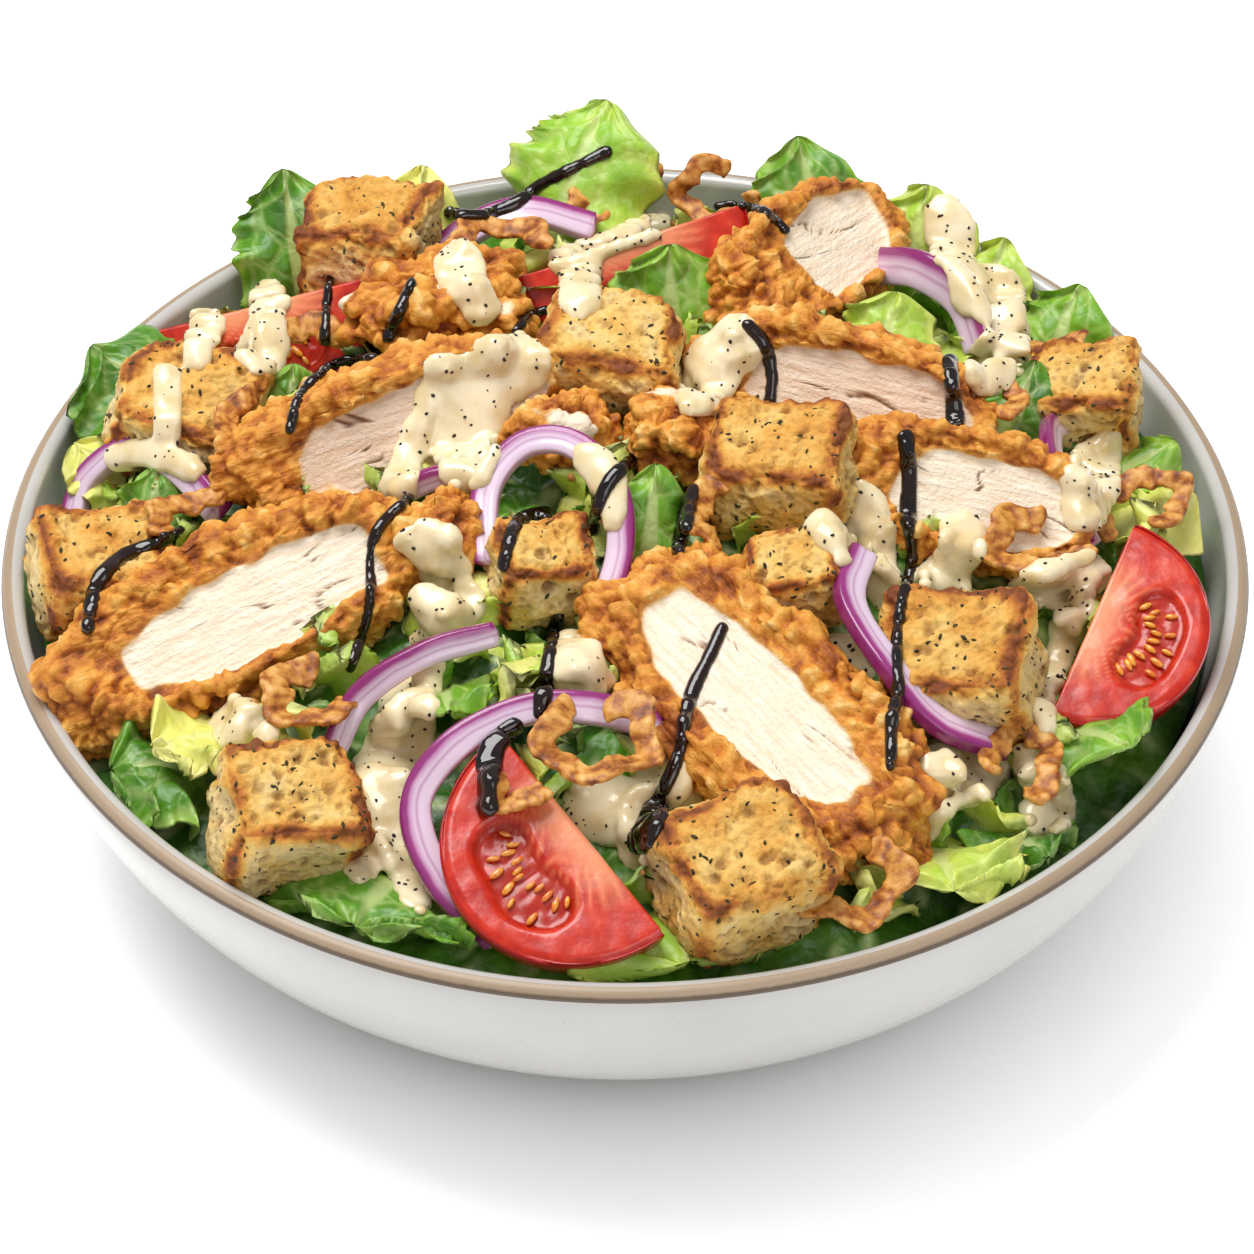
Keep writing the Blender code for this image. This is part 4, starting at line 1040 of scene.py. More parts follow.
def crouton(row, look, bread):
    """Bread cube with pores, torn crumb and worn brown edges."""
    seed = seed_of(row.name)
    builder = bmesh.new()
    bmesh.ops.create_cube(builder, size=2.0)
    bmesh.ops.subdivide_edges(builder, edges=builder.edges, cuts=look.cuts, use_grid_fill=True)
    toast, pore = new_layers(builder, "toast", "pore")
    browned = random.Random(seed)
    face_toast = [browned.uniform(0.0, 0.22) for _ in range(5)] + [browned.uniform(0.2, 0.42)]
    for vertex in builder.verts:
        sizes = [abs(value) for value in vertex.co]
        axis = sizes.index(max(sizes))
        face = 2 * axis + (1 if vertex.co[axis] > 0 else 0)
        corner = sum(abs(value) ** CUBE_SQUARENESS for value in vertex.co) ** (1 / CUBE_SQUARENESS)
        place = Vector(row.size) / 2 * vertex.co / corner
        scorched = 0.2 + 0.8 * clamp(0.5 + lumpiness(place, 5.0, seed + 8))
        vertex[toast] = clamp(face_toast[face] + scorched * smooth_step(0.6, 1.0, sorted(sizes)[1]))
        vertex.co = place * (1 + 0.17 * lumpiness(place, 11.0, seed))

    def height(vertex):
        rough = 0.8 * lumpiness(vertex.co, 3.2, seed + 1) + 0.5 * lumpiness(vertex.co, 1.5, seed + 2)
        wide = knob(vertex.co, HOLE_SPACING, seed + 3)
        fine = knob(vertex.co, PORE_SPACING, seed + 4)
        some = smooth_step(-0.3, 0.2, lumpiness(vertex.co, 7.0, seed + 5))
        hole = smooth_step(0.80, 0.97, wide) * some
        small = smooth_step(0.6, 0.9, fine) * smooth_step(-0.35, 0.2, lumpiness(vertex.co, 3.5, seed + 9))
        # pore also sets the painted shade inside the holes.
        vertex[pore] = clamp(hole + 0.6 * small)
        worn = vertex[toast] * lumpiness(vertex.co, 2.4, seed + 6)
        bent = lumpiness(vertex.co, 7.5, seed + 7)
        return 0.8 * rough - 1.1 * hole - 0.8 * small + 1.1 * worn + 1.3 * bent

    raise_relief(builder, height)
    dressed_piece(row, "toasted_bread", builder, (bread,), lump_placement(row))


def seed_pocket(x, y):
    """How far a place on a tomato's cut face is inside its seed pocket, 0 to 1; x and y are shares."""
    reach = math.hypot(x, y)
    turn = math.degrees(math.atan2(y, x)) - 90
    edge = ((reach - POCKET_REACH) / POCKET_HALF_WIDTH) ** 2 + (turn / POCKET_HALF_TURN) ** 4
    return smooth_step(1.15, 0.75, edge)


def tomato_wedge(row, look, surfaces):
    """Tomato wedge with a peel, a sunken seed pocket in each cut face and seeds in it."""
    seed = seed_of(row.name)
    loop = 2 * FACE_CELLS + PEEL_CELLS
    opening = math.radians(row.opening)

    def section(column):
        """Radius share and angle below the first face for a step round the section."""
        if column <= FACE_CELLS:
            return column / FACE_CELLS, 0.0
        if column <= FACE_CELLS + PEEL_CELLS:
            return 1.0, (column - FACE_CELLS) / PEEL_CELLS
        return (loop - column) / FACE_CELLS, 1.0

    def spot(along, across):
        tall = math.pi * along
        share, part = section(round(across * loop))
        reach = share * row.radius * math.sin(tall)
        angle = -opening * part
        return (row.length / 2 * math.cos(tall), reach * math.cos(angle), reach * math.sin(angle))

    builder = skin_over(spot, look.rings, loop)
    across = builder.verts.layers.float["across"]
    skin, gel, heart, ray = new_layers(builder, "skin", "gel", "heart", "ray")

    def height(vertex):
        share, part = section(round(vertex[across] * loop))
        x, y, z = vertex.co
        out = math.hypot(y, z) / row.radius
        end = x / (row.length / 2)
        wobble = 0.05 * lumpiness(vertex.co, 8.0, seed)
        on_peel = 0.0 < part < 1.0
        pocket = 0.0 if on_peel else seed_pocket(end, out + wobble)
        turn = math.atan2(out, end)
        rim = math.hypot(out, end)
        vertex[skin] = 1.0 if on_peel else smooth_step(0.955, 0.99, rim)
        vertex[gel] = pocket * (0.7 + 0.5 * lumpiness(vertex.co, 3.0, seed + 1))
        core = 0.8 * smooth_step(0.3, 0.05, out) * smooth_step(0.75, 0.2, abs(end))
        vertex[heart] = 0.0 if on_peel else core
        stripes = max(0.0, math.sin(34 * turn + 3 * lumpiness(vertex.co, 5.0, seed + 2)))
        fan = 0.8 * stripes * smooth_step(0.1, 0.3, rim) * smooth_step(0.66, 0.5, rim)
        vertex[ray] = 0.0 if on_peel else fan
        if on_peel:
            return 0.15 * lumpiness(vertex.co, 12.0, seed + 3)
        return (0.12 * lumpiness(vertex.co, 4.0, seed + 3) - 1.7 * pocket
                + 0.35 * pocket * lumpiness(vertex.co, 2.2, seed + 4) + 0.7 * pocket * vertex[ray]
                - 0.7 * smooth_step(0.93, 1.0, rim))

    raise_relief(builder, height)
    draw = random.Random(seed)
    for face_angle in (0.0, -opening):
        for count, reach, low in SEED_ROWS:
            for index in range(count):
                turn = math.radians(low + (180 - 2 * low) * (index + draw.uniform(0.2, 0.8)) / count)
                far = reach + draw.uniform(-0.04, 0.05)
                middle = Vector((far * math.cos(turn) * row.length / 2,
                                 far * math.sin(turn) * row.radius, -SEED_DEPTH))
                grown = draw.uniform(0.75, 1.1)
                made = bmesh.ops.create_icosphere(builder, subdivisions=2, radius=1.0)["verts"]
                size = Matrix.Diagonal((SEED_SIZE[0] * grown, SEED_SIZE[1] * grown, SEED_SIZE[2], 1.0))
                lean = Matrix.Rotation(turn + draw.uniform(-0.3, 0.3), 4, "Z")
                swing = Matrix.Rotation(face_angle, 4, "X")
                if face_angle:
                    middle.z = -middle.z
                settled = swing @ Matrix.Translation(middle) @ lean @ size
                bmesh.ops.transform(builder, matrix=settled, verts=made)
                for face in {face for vertex in made for face in vertex.link_faces}:
                    face.material_index = 1
    dressed_piece(row, "tomato", builder, surfaces, placement(row.centre, row.yaw, row.pitch, row.tilt))


def smooth_route(points, share):
    """Place on a Catmull-Rom curve through points at a share of its length from 0 to 1."""
    corners = [Vector(point) for point in points]
    corners = [corners[0] * 2 - corners[1]] + corners + [corners[-1] * 2 - corners[-2]]
    spans = len(points) - 1
    index = min(int(share * spans), spans - 1)
    step = share * spans - index
    before, start, end, after = corners[index:index + 4]
    return 0.5 * (2 * start + (end - before) * step
                  + (2 * before - 5 * start + 4 * end - after) * step ** 2
                  + (3 * start - before - 3 * end + after) * step ** 3)


def route_normal(points):
    """Normal of the plane that a route bends in, turned up or to the front."""
    corners = [Vector(point) for point in points]
    total = Vector()
    for start, end in zip(corners, corners[1:] + corners[:1]):
        total += (start - corners[0]).cross(end - corners[0])
    total.normalize()
    return total if total.z - total.y > 0 else -total


def round_section(share, squareness):
    """Place on a rounded square from -1 to 1 at a share of the way round."""
    turn = 2 * math.pi * share
    return (math.copysign(abs(math.cos(turn)) ** squareness, math.cos(turn)),
            math.copysign(abs(math.sin(turn)) ** squareness, math.sin(turn)))


def onion_arc(row, look, onion):
    """Strip of a red onion ring: a pale band with fine layers and a purple outer skin."""
    seed = seed_of(row.name)
    normal = route_normal(row.route)
    middle = sum((Vector(point) for point in row.route), Vector()) / len(row.route)
    half_way = smooth_route(row.route, 0.5)
    tangent = smooth_route(row.route, 0.55) - smooth_route(row.route, 0.45)
    outer = 1 if normal.cross(tangent).dot(half_way - middle) > 0 else -1

    def spot(along, across):
        share = clamp(along)
        centre = smooth_route(row.route, share)
        behind = smooth_route(row.route, max(share - 0.02, 0.0))
        ahead = smooth_route(row.route, min(share + 0.02, 1.0)) - behind
        outward = normal.cross(ahead).normalized()
        end = math.sqrt(clamp(min(share, 1 - share) / ARC_END))
        side, up = round_section(across, ARC_SQUARENESS)
        waver = 1 + 0.1 * lumpiness(centre, 12.0, seed)
        groove = 0.35 * math.exp(-((side * outer - 0.05) / 0.10) ** 2) * (1 if up > 0 else -1)
        return (centre + outward * (side * end * waver * row.width / 2)
                + normal * ((up * row.thickness / 2 - groove) * end
                            + 0.4 * lumpiness(centre, 16.0, seed + 2)))

    builder = skin_over(spot, look.cells * (len(row.route) - 1), ARC_STEPS)
    across = builder.verts.layers.float["across"]
    layer = builder.verts.layers.float.new("layer")
    for vertex in builder.verts:
        vertex[layer] = 0.5 + 0.5 * outer * round_section(vertex[across], ARC_SQUARENESS)[0]
    dressed_piece(row, "red_onion", builder, (onion,))


def shred_spot(row, along, across):
    """Place on a fried onion's middle surface; along runs 0 to 1 and across -1 to 1."""
    angle = math.radians(row.sweep) * (along - 0.5) + seed_of(row.name)
    ragged = 1 + 0.12 * math.sin(5 * angle + seed_of(row.name))
    middle = Vector((row.size[0] / 2 * math.cos(angle), row.size[1] / 2 * math.sin(angle), 0.0)) * ragged
    outward = Vector((math.cos(angle), math.sin(angle), 0.35)).normalized()
    wave = Vector((0.0, 0.0, 0.9 * math.sin(3 * angle)))
    return middle + outward * (across * row.width / 2) + wave


def fried_onion(row, look, crisp):
    """Ragged crisp band of fried onion."""
    seed = seed_of(row.name)

    def spot(along, across):
        side, up = round_section(across, SHRED_SQUARENESS)
        here = shred_spot(row, along, side)
        ahead = shred_spot(row, min(along + 0.01, 1.0), side) - shred_spot(row, max(along - 0.01, 0.0), side)
        beside = shred_spot(row, along, 1.0) - shred_spot(row, along, -1.0)
        above = ahead.cross(beside).normalized()
        end = math.sqrt(clamp(min(along, 1 - along) / SHRED_END))
        centre = shred_spot(row, along, 0.0)
        narrow = end * (1.45 + 0.5 * lumpiness(centre, 5.0, seed))
        return centre + (here - centre) * narrow + above * (up * end * SHRED_THICKNESS * 0.38)

    builder = skin_over(spot, look.shred_rows, SHRED_STEPS)
    ridge = builder.verts.layers.float.new("ridge")

    def height(vertex):
        crag = knob(vertex.co, 2.2, seed)
        # The ridge also paints shade into the creases and a highlight onto the knobs.
        vertex[ridge] = crag
        return 0.35 * (crag - 0.5) + 0.3 * lumpiness(vertex.co, 1.2, seed + 1)

    raise_relief(builder, height)
    dressed_piece(row, "fried_onion", builder, (crisp,), lump_placement(row))


def leaf_skin(x, y, seed):
    """Pucker of a leaf's skin at a place in mm, 0 to 1, and the fine vein round a pucker, 0 to 1."""
    near, later = noise.voronoi(Vector((x / PUCKER_LENGTH, y / PUCKER_WIDTH, seed * 1.7)))[0][:2]
    return clamp(1 - near ** 2), smooth_step(0.16, 0.02, later - near)


def leaf_side(share):
    """Across a leaf from -1 to 1 at a share of the way round it, and 1 on its upper face or -1 below."""
    step = 2 * share
    return (2 * step - 1, 1) if step <= 1 else (3 - 2 * step, -1)


def leaf_frame(row):
    """Base, way forward, side and up of a leaf."""
    base = Vector((*row.root, bed_height(*row.root) - LEAF_ROOT))
    forward = Vector(row.tip) - base
    side = Vector((-forward.y, forward.x, 0.0)).normalized()
    up = side.cross(-forward).normalized()
    return base, forward, side, up if up.z > 0 else -up


def leaf_spot(row, look, along, across):
    """Place on a leaf's middle surface with its lobes and frills; along runs 0 to 1 and across -1 to 1."""
    base, forward, side, up = leaf_frame(row)
    phase = row.root[0] + row.root[1]
    length = forward.length
    half_width = row.width / 2 * math.sin(math.pi * (0.16 + 0.7 * along)) ** 0.7
    closing = math.sqrt(clamp((1 - along) / LEAF_TIP_SHARE))
    half_width *= closing
    far_side = 2.0 if across > 0 else 0.0
    edge = max(smooth_step(0.25, 1.0, abs(across)), smooth_step(0.72, 1.0, along))
    run = along * length + across * row.width * 0.5 * smooth_step(0.6, 1.0, along)
    turn = (2 * math.pi * run / look.frill_length + phase + far_side
            + 2.2 * lumpiness((run, across * 9, phase), 9.0, 4))
    crimp = math.sin(2.3 * turn + phase)
    lobe_side = 7.0 if across > 0 else -7.0
    lobes = 1 + 0.16 * lumpiness((along * length, lobe_side, phase), 5.0, 2) + 0.08 * edge * crimp
    frill = row.frill * closing * (edge * math.sin(turn) + 0.5 * edge ** 2 * crimp)
    ruffle = row.ruffle * closing * abs(across) * math.sin(9.0 * along + phase + far_side)
    arch = row.curl * math.sin(math.pi * along)
    fold = row.curl * closing * across ** 2
    sway = 0.8 * edge * closing * row.frill * math.cos(turn)
    place = (base + forward * along + side * (across * half_width * lobes)
             + up * (ruffle + arch - fold + frill) + forward.normalized() * sway * 0.5)
    reach = min(1.0, LEAF_REACH / max(math.hypot(place.x, place.y), 1.0))
    return Vector((place.x * reach, place.y * reach, place.z))


def vein_at(row, along, across):
    """Ribs of a leaf: 1 on the middle rib or a side vein, else 0."""
    length = (Vector(row.tip[:2]) - Vector(row.root)).length + 12
    off = abs(across) * row.width / 2
    rib_width = 0.5 + 1.4 * (1 - along)
    rib = smooth_step(rib_width + 0.6, rib_width, off)
    run = along * length - 0.75 * off + 1.5 * lumpiness((along * 20, across * 5, row.width), 4.0, 6)
    gap = abs((run / SIDE_VEIN_SPACING + (0.5 if across > 0 else 0.0)) % 1.0 - 0.5) * 2
    branch = smooth_step(0.13, 0.0, 1 - gap) * (1 - 0.6 * abs(across))
    return max(rib, 0.8 * branch)


def lettuce_leaf(row, look, leaf, number):
    """Thin frilled leaf with ribs and blistered skin between them."""
    seed = number + 3
    above = leaf_frame(row)[3]

    def spot(along, across):
        over, face = leaf_side(across)
        place = leaf_spot(row, look, along, over)
        thick = look.leaf_thickness / 2 * min(1.0, 6 * along, 6 * (1 - along)) * (1 - over ** 8)
        return place + above * thick * face

    builder = skin_over(spot, look.leaf_rows, 2 * look.leaf_columns)
    along = builder.verts.layers.float["along"]
    across = builder.verts.layers.float["across"]
    vein, pale = new_layers(builder, "vein", "pale")
    _, forward, _, up = leaf_frame(row)
    for vertex in builder.verts:
        over, face = leaf_side(vertex[across])
        rib = vein_at(row, vertex[along], over)
        pucker, net = leaf_skin(vertex[along] * forward.length, over * row.width / 2, seed)
        vertex.co += up * (LEAF_PUCKER * (1 - rib) * (pucker - 0.6) - 0.25 * rib * face)
        vertex[vein] = max(rib * (1 - 0.3 * vertex[along]), 0.4 * net)
        # Painted highlight: leaves are paler along their edges and tips.
        lit_edge = 0.16 * smooth_step(0.75, 1.0, max(abs(over), vertex[along]))
        vertex[pale] = clamp(row.pale + 0.25 * (0.45 - vertex[along]) + lit_edge + 0.12 * (0.5 - pucker))
    piece = mesh_object("lettuce_leaf_{:02d}".format(number), builder, (leaf,))
    dress(piece, "lettuce", "lettuce_heap")


def lettuce_core(look, leaf):
    """Packed leaves under the toppings: a crumpled mound that fills the bowl."""
    floor = BASE_HEIGHT + FLOOR_THICKNESS
    wall = []
    for index in range(CORE_WALL_STEPS + 1):
        height = floor + (BED_EDGE_HEIGHT - CORE_DROP - floor) * index / CORE_WALL_STEPS
        wall.append((inner_radius(height) - CORE_GAP, height + CORE_GAP))
    top = [(BED_EDGE_RADIUS * (1 - ring / CORE_TOP_RINGS), None) for ring in range(CORE_TOP_RINGS + 1)]
    profile = [(0.0, floor + CORE_GAP)] + wall + top
    last = len(profile) - 1

    def spot(along, across):
        radius, height = profile[round(along * last)]
        angle = 2 * math.pi * across
        x, y = radius * math.cos(angle), radius * math.sin(angle)
        if height is not None:
            return (x, y, height)
        crease = knob((x, y, 0), 13.0, 5)
        folds = 1 - abs(lumpiness((x, y, 0), 7.0, 9)) * 2.6
        return (x, y, bed_height(x, y) - CORE_DROP - 2.0 + 4.2 * crease + 2.2 * folds)

    builder = skin_over(spot, last, CORE_STEPS)
    vein, pale = new_layers(builder, "vein", "pale")
    for vertex in builder.verts:
        x, y, z = vertex.co
        vertex[vein] = smooth_step(0.10, 0.0, abs(lumpiness((x, y, 0), 9.0, 21)))
        vertex[pale] = 0.10 + 0.35 * lumpiness((x, y, 0), 19.0, 8)
    piece = mesh_object("lettuce_core", builder, (leaf,))
    dress(piece, "lettuce", "lettuce_heap")
    return piece


def photo_ray(pixel):
    """Start and direction of the photograph's line of sight through a pixel."""
    tilt = math.radians(CAMERA_ELEVATION)
    forward = Vector((0.0, math.cos(tilt), -math.sin(tilt)))
    upward = Vector((0.0, math.sin(tilt), math.cos(tilt)))
    start = Vector(CAMERA_AIM) - forward * CAMERA_DISTANCE
    focus = CAMERA_LENS / SENSOR_WIDTH * PHOTO_WIDTH
    across, down = pixel[0] - PHOTO_MIDDLE, pixel[1] - PHOTO_MIDDLE
    return start, (forward + (Vector((1.0, 0.0, 0.0)) * across - upward * down) / focus).normalized()


def pile_trees():
    """Search tree of every piece that shows, under the name of what it stands for."""
    bpy.context.view_layer.update()
    depsgraph = bpy.context.evaluated_depsgraph_get()
    return {piece.name.removesuffix("_dressed"): BVHTree.FromObject(piece, depsgraph)
            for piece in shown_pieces()}


def first_hit(trees, start, direction):
    """Nearest place that a line meets on the pile, its normal, distance and piece, or None."""
    nearest = None
    for name, tree in trees.items():
        place, normal, _, distance = tree.ray_cast(start, direction)
        if place is not None and (nearest is None or distance < nearest[2]):
            nearest = (place, normal, distance, name)
    return nearest


def pour_cells(row, drop):
    """Cells of a pixel grid that a pour covers in the photograph, each with its depth inside, 0 to 1."""
    length = sum((Vector(end) - Vector(start)).length for start, end in zip(row.route, row.route[1:]))
    step = drop.step
    count = 1 + int(length / step)
    covered = {}
    for index in range(count + 1):
        middle = smooth_route([(*point, 0) for point in row.route], index / count)
        waver = 1 + POUR_WAVER * lumpiness(middle, POUR_WAVER_LENGTH, 3)
        half = (row.width / 2 - 0.6 * drop.reach) / PIXEL_SIZE * waver
        for column in range(int((middle.x - half) / step), int((middle.x + half) / step) + 2):
            for line in range(int((middle.y - half) / step), int((middle.y + half) / step) + 2):
                off = math.hypot(column * step - middle.x, line * step - middle.y) / half
                ragged = lumpiness((column * step, line * step, 0), EDGE_WAVER_LENGTH, 5)
                depth = 1 - off ** 2 + drop.waver * ragged
                if off < 1.2 and depth > 0:
                    covered[column, line] = max(covered.get((column, line), 0.0), min(depth, 1.0))
    return covered


def pour(name, rows, drop, grain, softness, surface, trees):
    """Sauce that lies over the pile: a flat drop wherever the photograph shows it, melted into one coat."""
    covered = {}
    for row in rows:
        for cell, depth in pour_cells(row, drop).items():
            covered[cell] = max(covered.get(cell, 0.0), depth)
    ball = bmesh.new()
    bmesh.ops.create_icosphere(ball, subdivisions=2, radius=1.0)
    corners = [vertex.co.copy() for vertex in ball.verts]
    sides = [[vertex.index for vertex in face.verts] for face in ball.faces]
    ball.free()
    hits = {}
    for column, line in covered:
        hit = first_hit(trees, *photo_ray((column * drop.step, line * drop.step)))
        if hit and hit[0].z > LOWEST_SAUCE * MM and hit[3] not in drop.dry:
            hits[column, line] = hit
    places, faces = [], []
    window = range(-2, 3)
    for (column, line), (place, normal, distance, _) in hits.items():
        near = [hits[column + across, line + down] for across in window for down in window
                if (column + across, line + down) in hits]
        level = sum(other[2] for other in near) / len(near)
        lift = min(max(distance - level, 0.0), drop.bridge * MM)
        middle = place - photo_ray((column * drop.step, line * drop.step))[1] * lift
        thick = drop.thin + (drop.thick - drop.thin) * math.sqrt(covered[column, line])
        facing = sum((other[1] for other in near), Vector((0.0, 0.0, 0.01))).normalized()
        turn = facing.to_track_quat("Z", "Y").to_matrix()
        size = Matrix.Diagonal((drop.reach * MM, drop.reach * MM, thick * MM))
        faces += [[len(places) + index for index in side] for side in sides]
        places += [middle + turn @ size @ corner for corner in corners]
    mesh = bpy.data.meshes.new(name)
    mesh.from_pydata(places, [], faces)
    mesh.materials.append(surface)
    piece = add_object(name, mesh)
    melt = piece.modifiers.new("Melt", "REMESH")
    melt.mode = "VOXEL"
    melt.voxel_size = grain * MM
    melt.use_smooth_shade = True
    soften = piece.modifiers.new("Soften", "SMOOTH")
    soften.factor = SMOOTHING
    soften.iterations = softness
    return settle(piece)


def scatter_tree(name):
    """Geometry Nodes that scatter a shape over a surface, with a fixed seed."""
    tree = bpy.data.node_groups.new(name, "GeometryNodeTree")
    for label, kind in (("Surface", "Geometry"), ("Shape", "Object"), ("Per square metre", "Float"),
                        ("Least upward", "Float"), ("Reach", "Float"), ("Smallest", "Float"),
                        ("Largest", "Float"), ("Lean", "Float"), ("Seed", "Int"), ("Palest", "Float"),
                        ("Finish", "Material")):
        tree.interface.new_socket(label, in_out="INPUT", socket_type="NodeSocket" + kind)
    tree.interface.new_socket("Scattered", in_out="OUTPUT", socket_type="NodeSocketGeometry")
    given = add_node(tree, "NodeGroupInput").outputs
    normal = add_node(tree, "GeometryNodeInputNormal").outputs[0]
    upward = add_node(tree, "ShaderNodeSeparateXYZ", {}, {0: normal}).outputs["Z"]
    faces_up = add_node(tree, "FunctionNodeCompare", {"data_type": "FLOAT", "operation": "GREATER_THAN"},
                        {0: upward, 1: given["Least upward"]}).outputs[0]
    spot = add_node(tree, "GeometryNodeInputPosition").outputs[0]
    flat = add_node(tree, "ShaderNodeVectorMath", {"operation": "MULTIPLY"}, {0: spot, 1: (1.0, 1.0, 0.0)})
    radius = add_node(tree, "ShaderNodeVectorMath", {"operation": "LENGTH"}, {0: flat.outputs[0]})
    inside = add_node(tree, "FunctionNodeCompare", {"data_type": "FLOAT", "operation": "LESS_THAN"},
                      {0: radius.outputs["Value"], 1: given["Reach"]}).outputs[0]
    chosen = add_node(tree, "FunctionNodeBooleanMath", {"operation": "AND"},
                      {0: faces_up, 1: inside}).outputs[0]
    points = add_node(tree, "GeometryNodeDistributePointsOnFaces", {},
                      {"Mesh": given["Surface"], "Selection": chosen, "Density": given["Per square metre"],
                       "Seed": given["Seed"]}).outputs
    least = add_node(tree, MATHS, {"operation": "MULTIPLY"}, {0: given["Lean"], 1: -1.0}).outputs[0]
    low = add_node(tree, "ShaderNodeCombineXYZ", {}, {0: least, 1: least, 2: -math.pi}).outputs[0]
    high = add_node(tree, "ShaderNodeCombineXYZ", {},
                    {0: given["Lean"], 1: given["Lean"], 2: math.pi}).outputs[0]
    swing = add_node(tree, "FunctionNodeRandomValue", {"data_type": "FLOAT_VECTOR"},
                     {0: low, 1: high, "Seed": given["Seed"]}).outputs[0]
    turn = add_node(tree, "FunctionNodeRotateRotation", {"rotation_space": "LOCAL"},
                    {0: points["Rotation"], 1: swing}).outputs[0]
    size = add_node(tree, "FunctionNodeRandomValue", {"data_type": "FLOAT"},
                    {2: given["Smallest"], 3: given["Largest"], "Seed": given["Seed"]}).outputs[1]
    shape = add_node(tree, "GeometryNodeObjectInfo", {}, {0: given["Shape"]}).outputs["Geometry"]
    copies = add_node(tree, "GeometryNodeInstanceOnPoints", {},
                      {"Points": points["Points"], "Instance": shape, "Rotation": turn,
                       "Scale": size}).outputs[0]
    tint = add_node(tree, "FunctionNodeRandomValue", {"data_type": "FLOAT"},
                    {2: 0.05, 3: given["Palest"], "Seed": given["Seed"]}).outputs[1]
    tinted = add_node(tree, "GeometryNodeStoreNamedAttribute", {"data_type": "FLOAT", "domain": "INSTANCE"},
                      {"Geometry": copies, "Name": "pale", "Value": tint}).outputs[0]
    real = add_node(tree, "GeometryNodeRealizeInstances", {}, {"Geometry": tinted}).outputs[0]
    coated = add_node(tree, "GeometryNodeSetMaterial", {},
                      {"Geometry": real, "Material": given["Finish"]}).outputs[0]
    add_node(tree, "NodeGroupOutput", {}, {"Scattered": coated})
    return tree


def scatter(name, hosts, shape, surface, values, slot):
    """One piece of many copies of a small shape, scattered over other pieces by Geometry Nodes."""
    builder = bmesh.new()
    for host in hosts:
        builder.from_mesh(host.data)
    bmesh.ops.scale(builder, vec=(1 / MM, 1 / MM, 1 / MM), verts=builder.verts)
    piece = mesh_object(name, builder, (surface,))
    tree = bpy.data.node_groups.get("Scatter") or scatter_tree("Scatter")
    spread = piece.modifiers.new("Scatter", "NODES")
    spread.node_group = tree
    chosen = {"Reach": RIM_RADIUS * MM, **values, "Shape": shape, "Finish": surface}
    for item in tree.interface.items_tree:
        if item.in_out == "INPUT" and item.name in chosen:
            spread[item.identifier] = chosen[item.name]
    settle(piece)
    bpy.data.objects.remove(shape)
    return dress(piece, slot)


def grain_shape(name, size, seed):
    """Small rough grain in mm."""
    builder = bmesh.new()
    bmesh.ops.create_icosphere(builder, subdivisions=1, radius=1.0)
    for vertex in builder.verts:
        swell = 1 + 0.5 * lumpiness(vertex.co * 3, 1.3, seed)
        vertex.co = Vector(size) / 2 * swell * vertex.co
    return mesh_object(name, builder, ())


def scrap_shape(name):
    """Small crumpled piece of leaf in mm, about 14 mm long, standing up from its root."""
    def spot(along, across):
        over, face = leaf_side(across)
        closing = math.sqrt(clamp((1 - along) / 0.25))
        half = SCRAP_HALF_WIDTH * math.sin(math.pi * (0.12 + 0.76 * along)) ** 0.6 * closing
        thick = 0.35 * min(1.0, 5 * along, 5 * (1 - along)) * (1 - over ** 6)
        edge = max(abs(over), along ** 2)
        wave = 1.8 * edge * math.sin(9 * along + 3 * over) + 0.9 * edge ** 2 * math.sin(21 * along + 8 * over)
        bend = 3.0 * along ** 2 - 2.0 * over ** 2
        pucker = leaf_skin(SCRAP_LENGTH * along, over * half, 2)[0]
        return (over * half, wave + bend + pucker + thick * face, SCRAP_LENGTH * along - 3)

    builder = skin_over(spot, 13, 22)
    vein = builder.verts.layers.float.new("vein")
    for vertex in builder.verts:
        rib = smooth_step(0.9, 0.2, abs(vertex.co.x))
        vertex[vein] = max(rib, 0.4 * leaf_skin(vertex.co.z + 3, vertex.co.x, 2)[1])
    return mesh_object(name, builder, ())


# Settings that a user would change

def colour(name, description, code):
    """Colour setting with a default given as an sRGB hex code."""
    return bpy.props.FloatVectorProperty(name=name, description=description, size=4, subtype="COLOR", min=0.0,
                                         max=1.0, default=linear(code))


def amount(name, description, default):
    """Setting that is a number from 0 up."""
    return bpy.props.FloatProperty(name=name, description=description, default=default, min=0.0)


def whole_number(name, description, default, least):
    """Setting that is a whole number from least up."""
    return bpy.props.IntProperty(name=name, description=description, default=default, min=least)


class BowlLook(bpy.types.PropertyGroup):
    """Bowl."""

    around: whole_number("Steps", "Steps round the bowl", 176, 24)
    glaze: colour("Glaze", "Off-white glaze", "#C4C2BE")
    glaze_shadow: colour("Glaze clouds", "Glaze where it is thin", "#B7B5B1")
    speck: colour("Specks", "Iron specks in the glaze", "#8D8880")
    rim: colour("Bare rim", "Bare clay on top of the lip", "#A69077")
    rim_shadow: colour("Rim line", "Darker line outside the lip", "#655343")


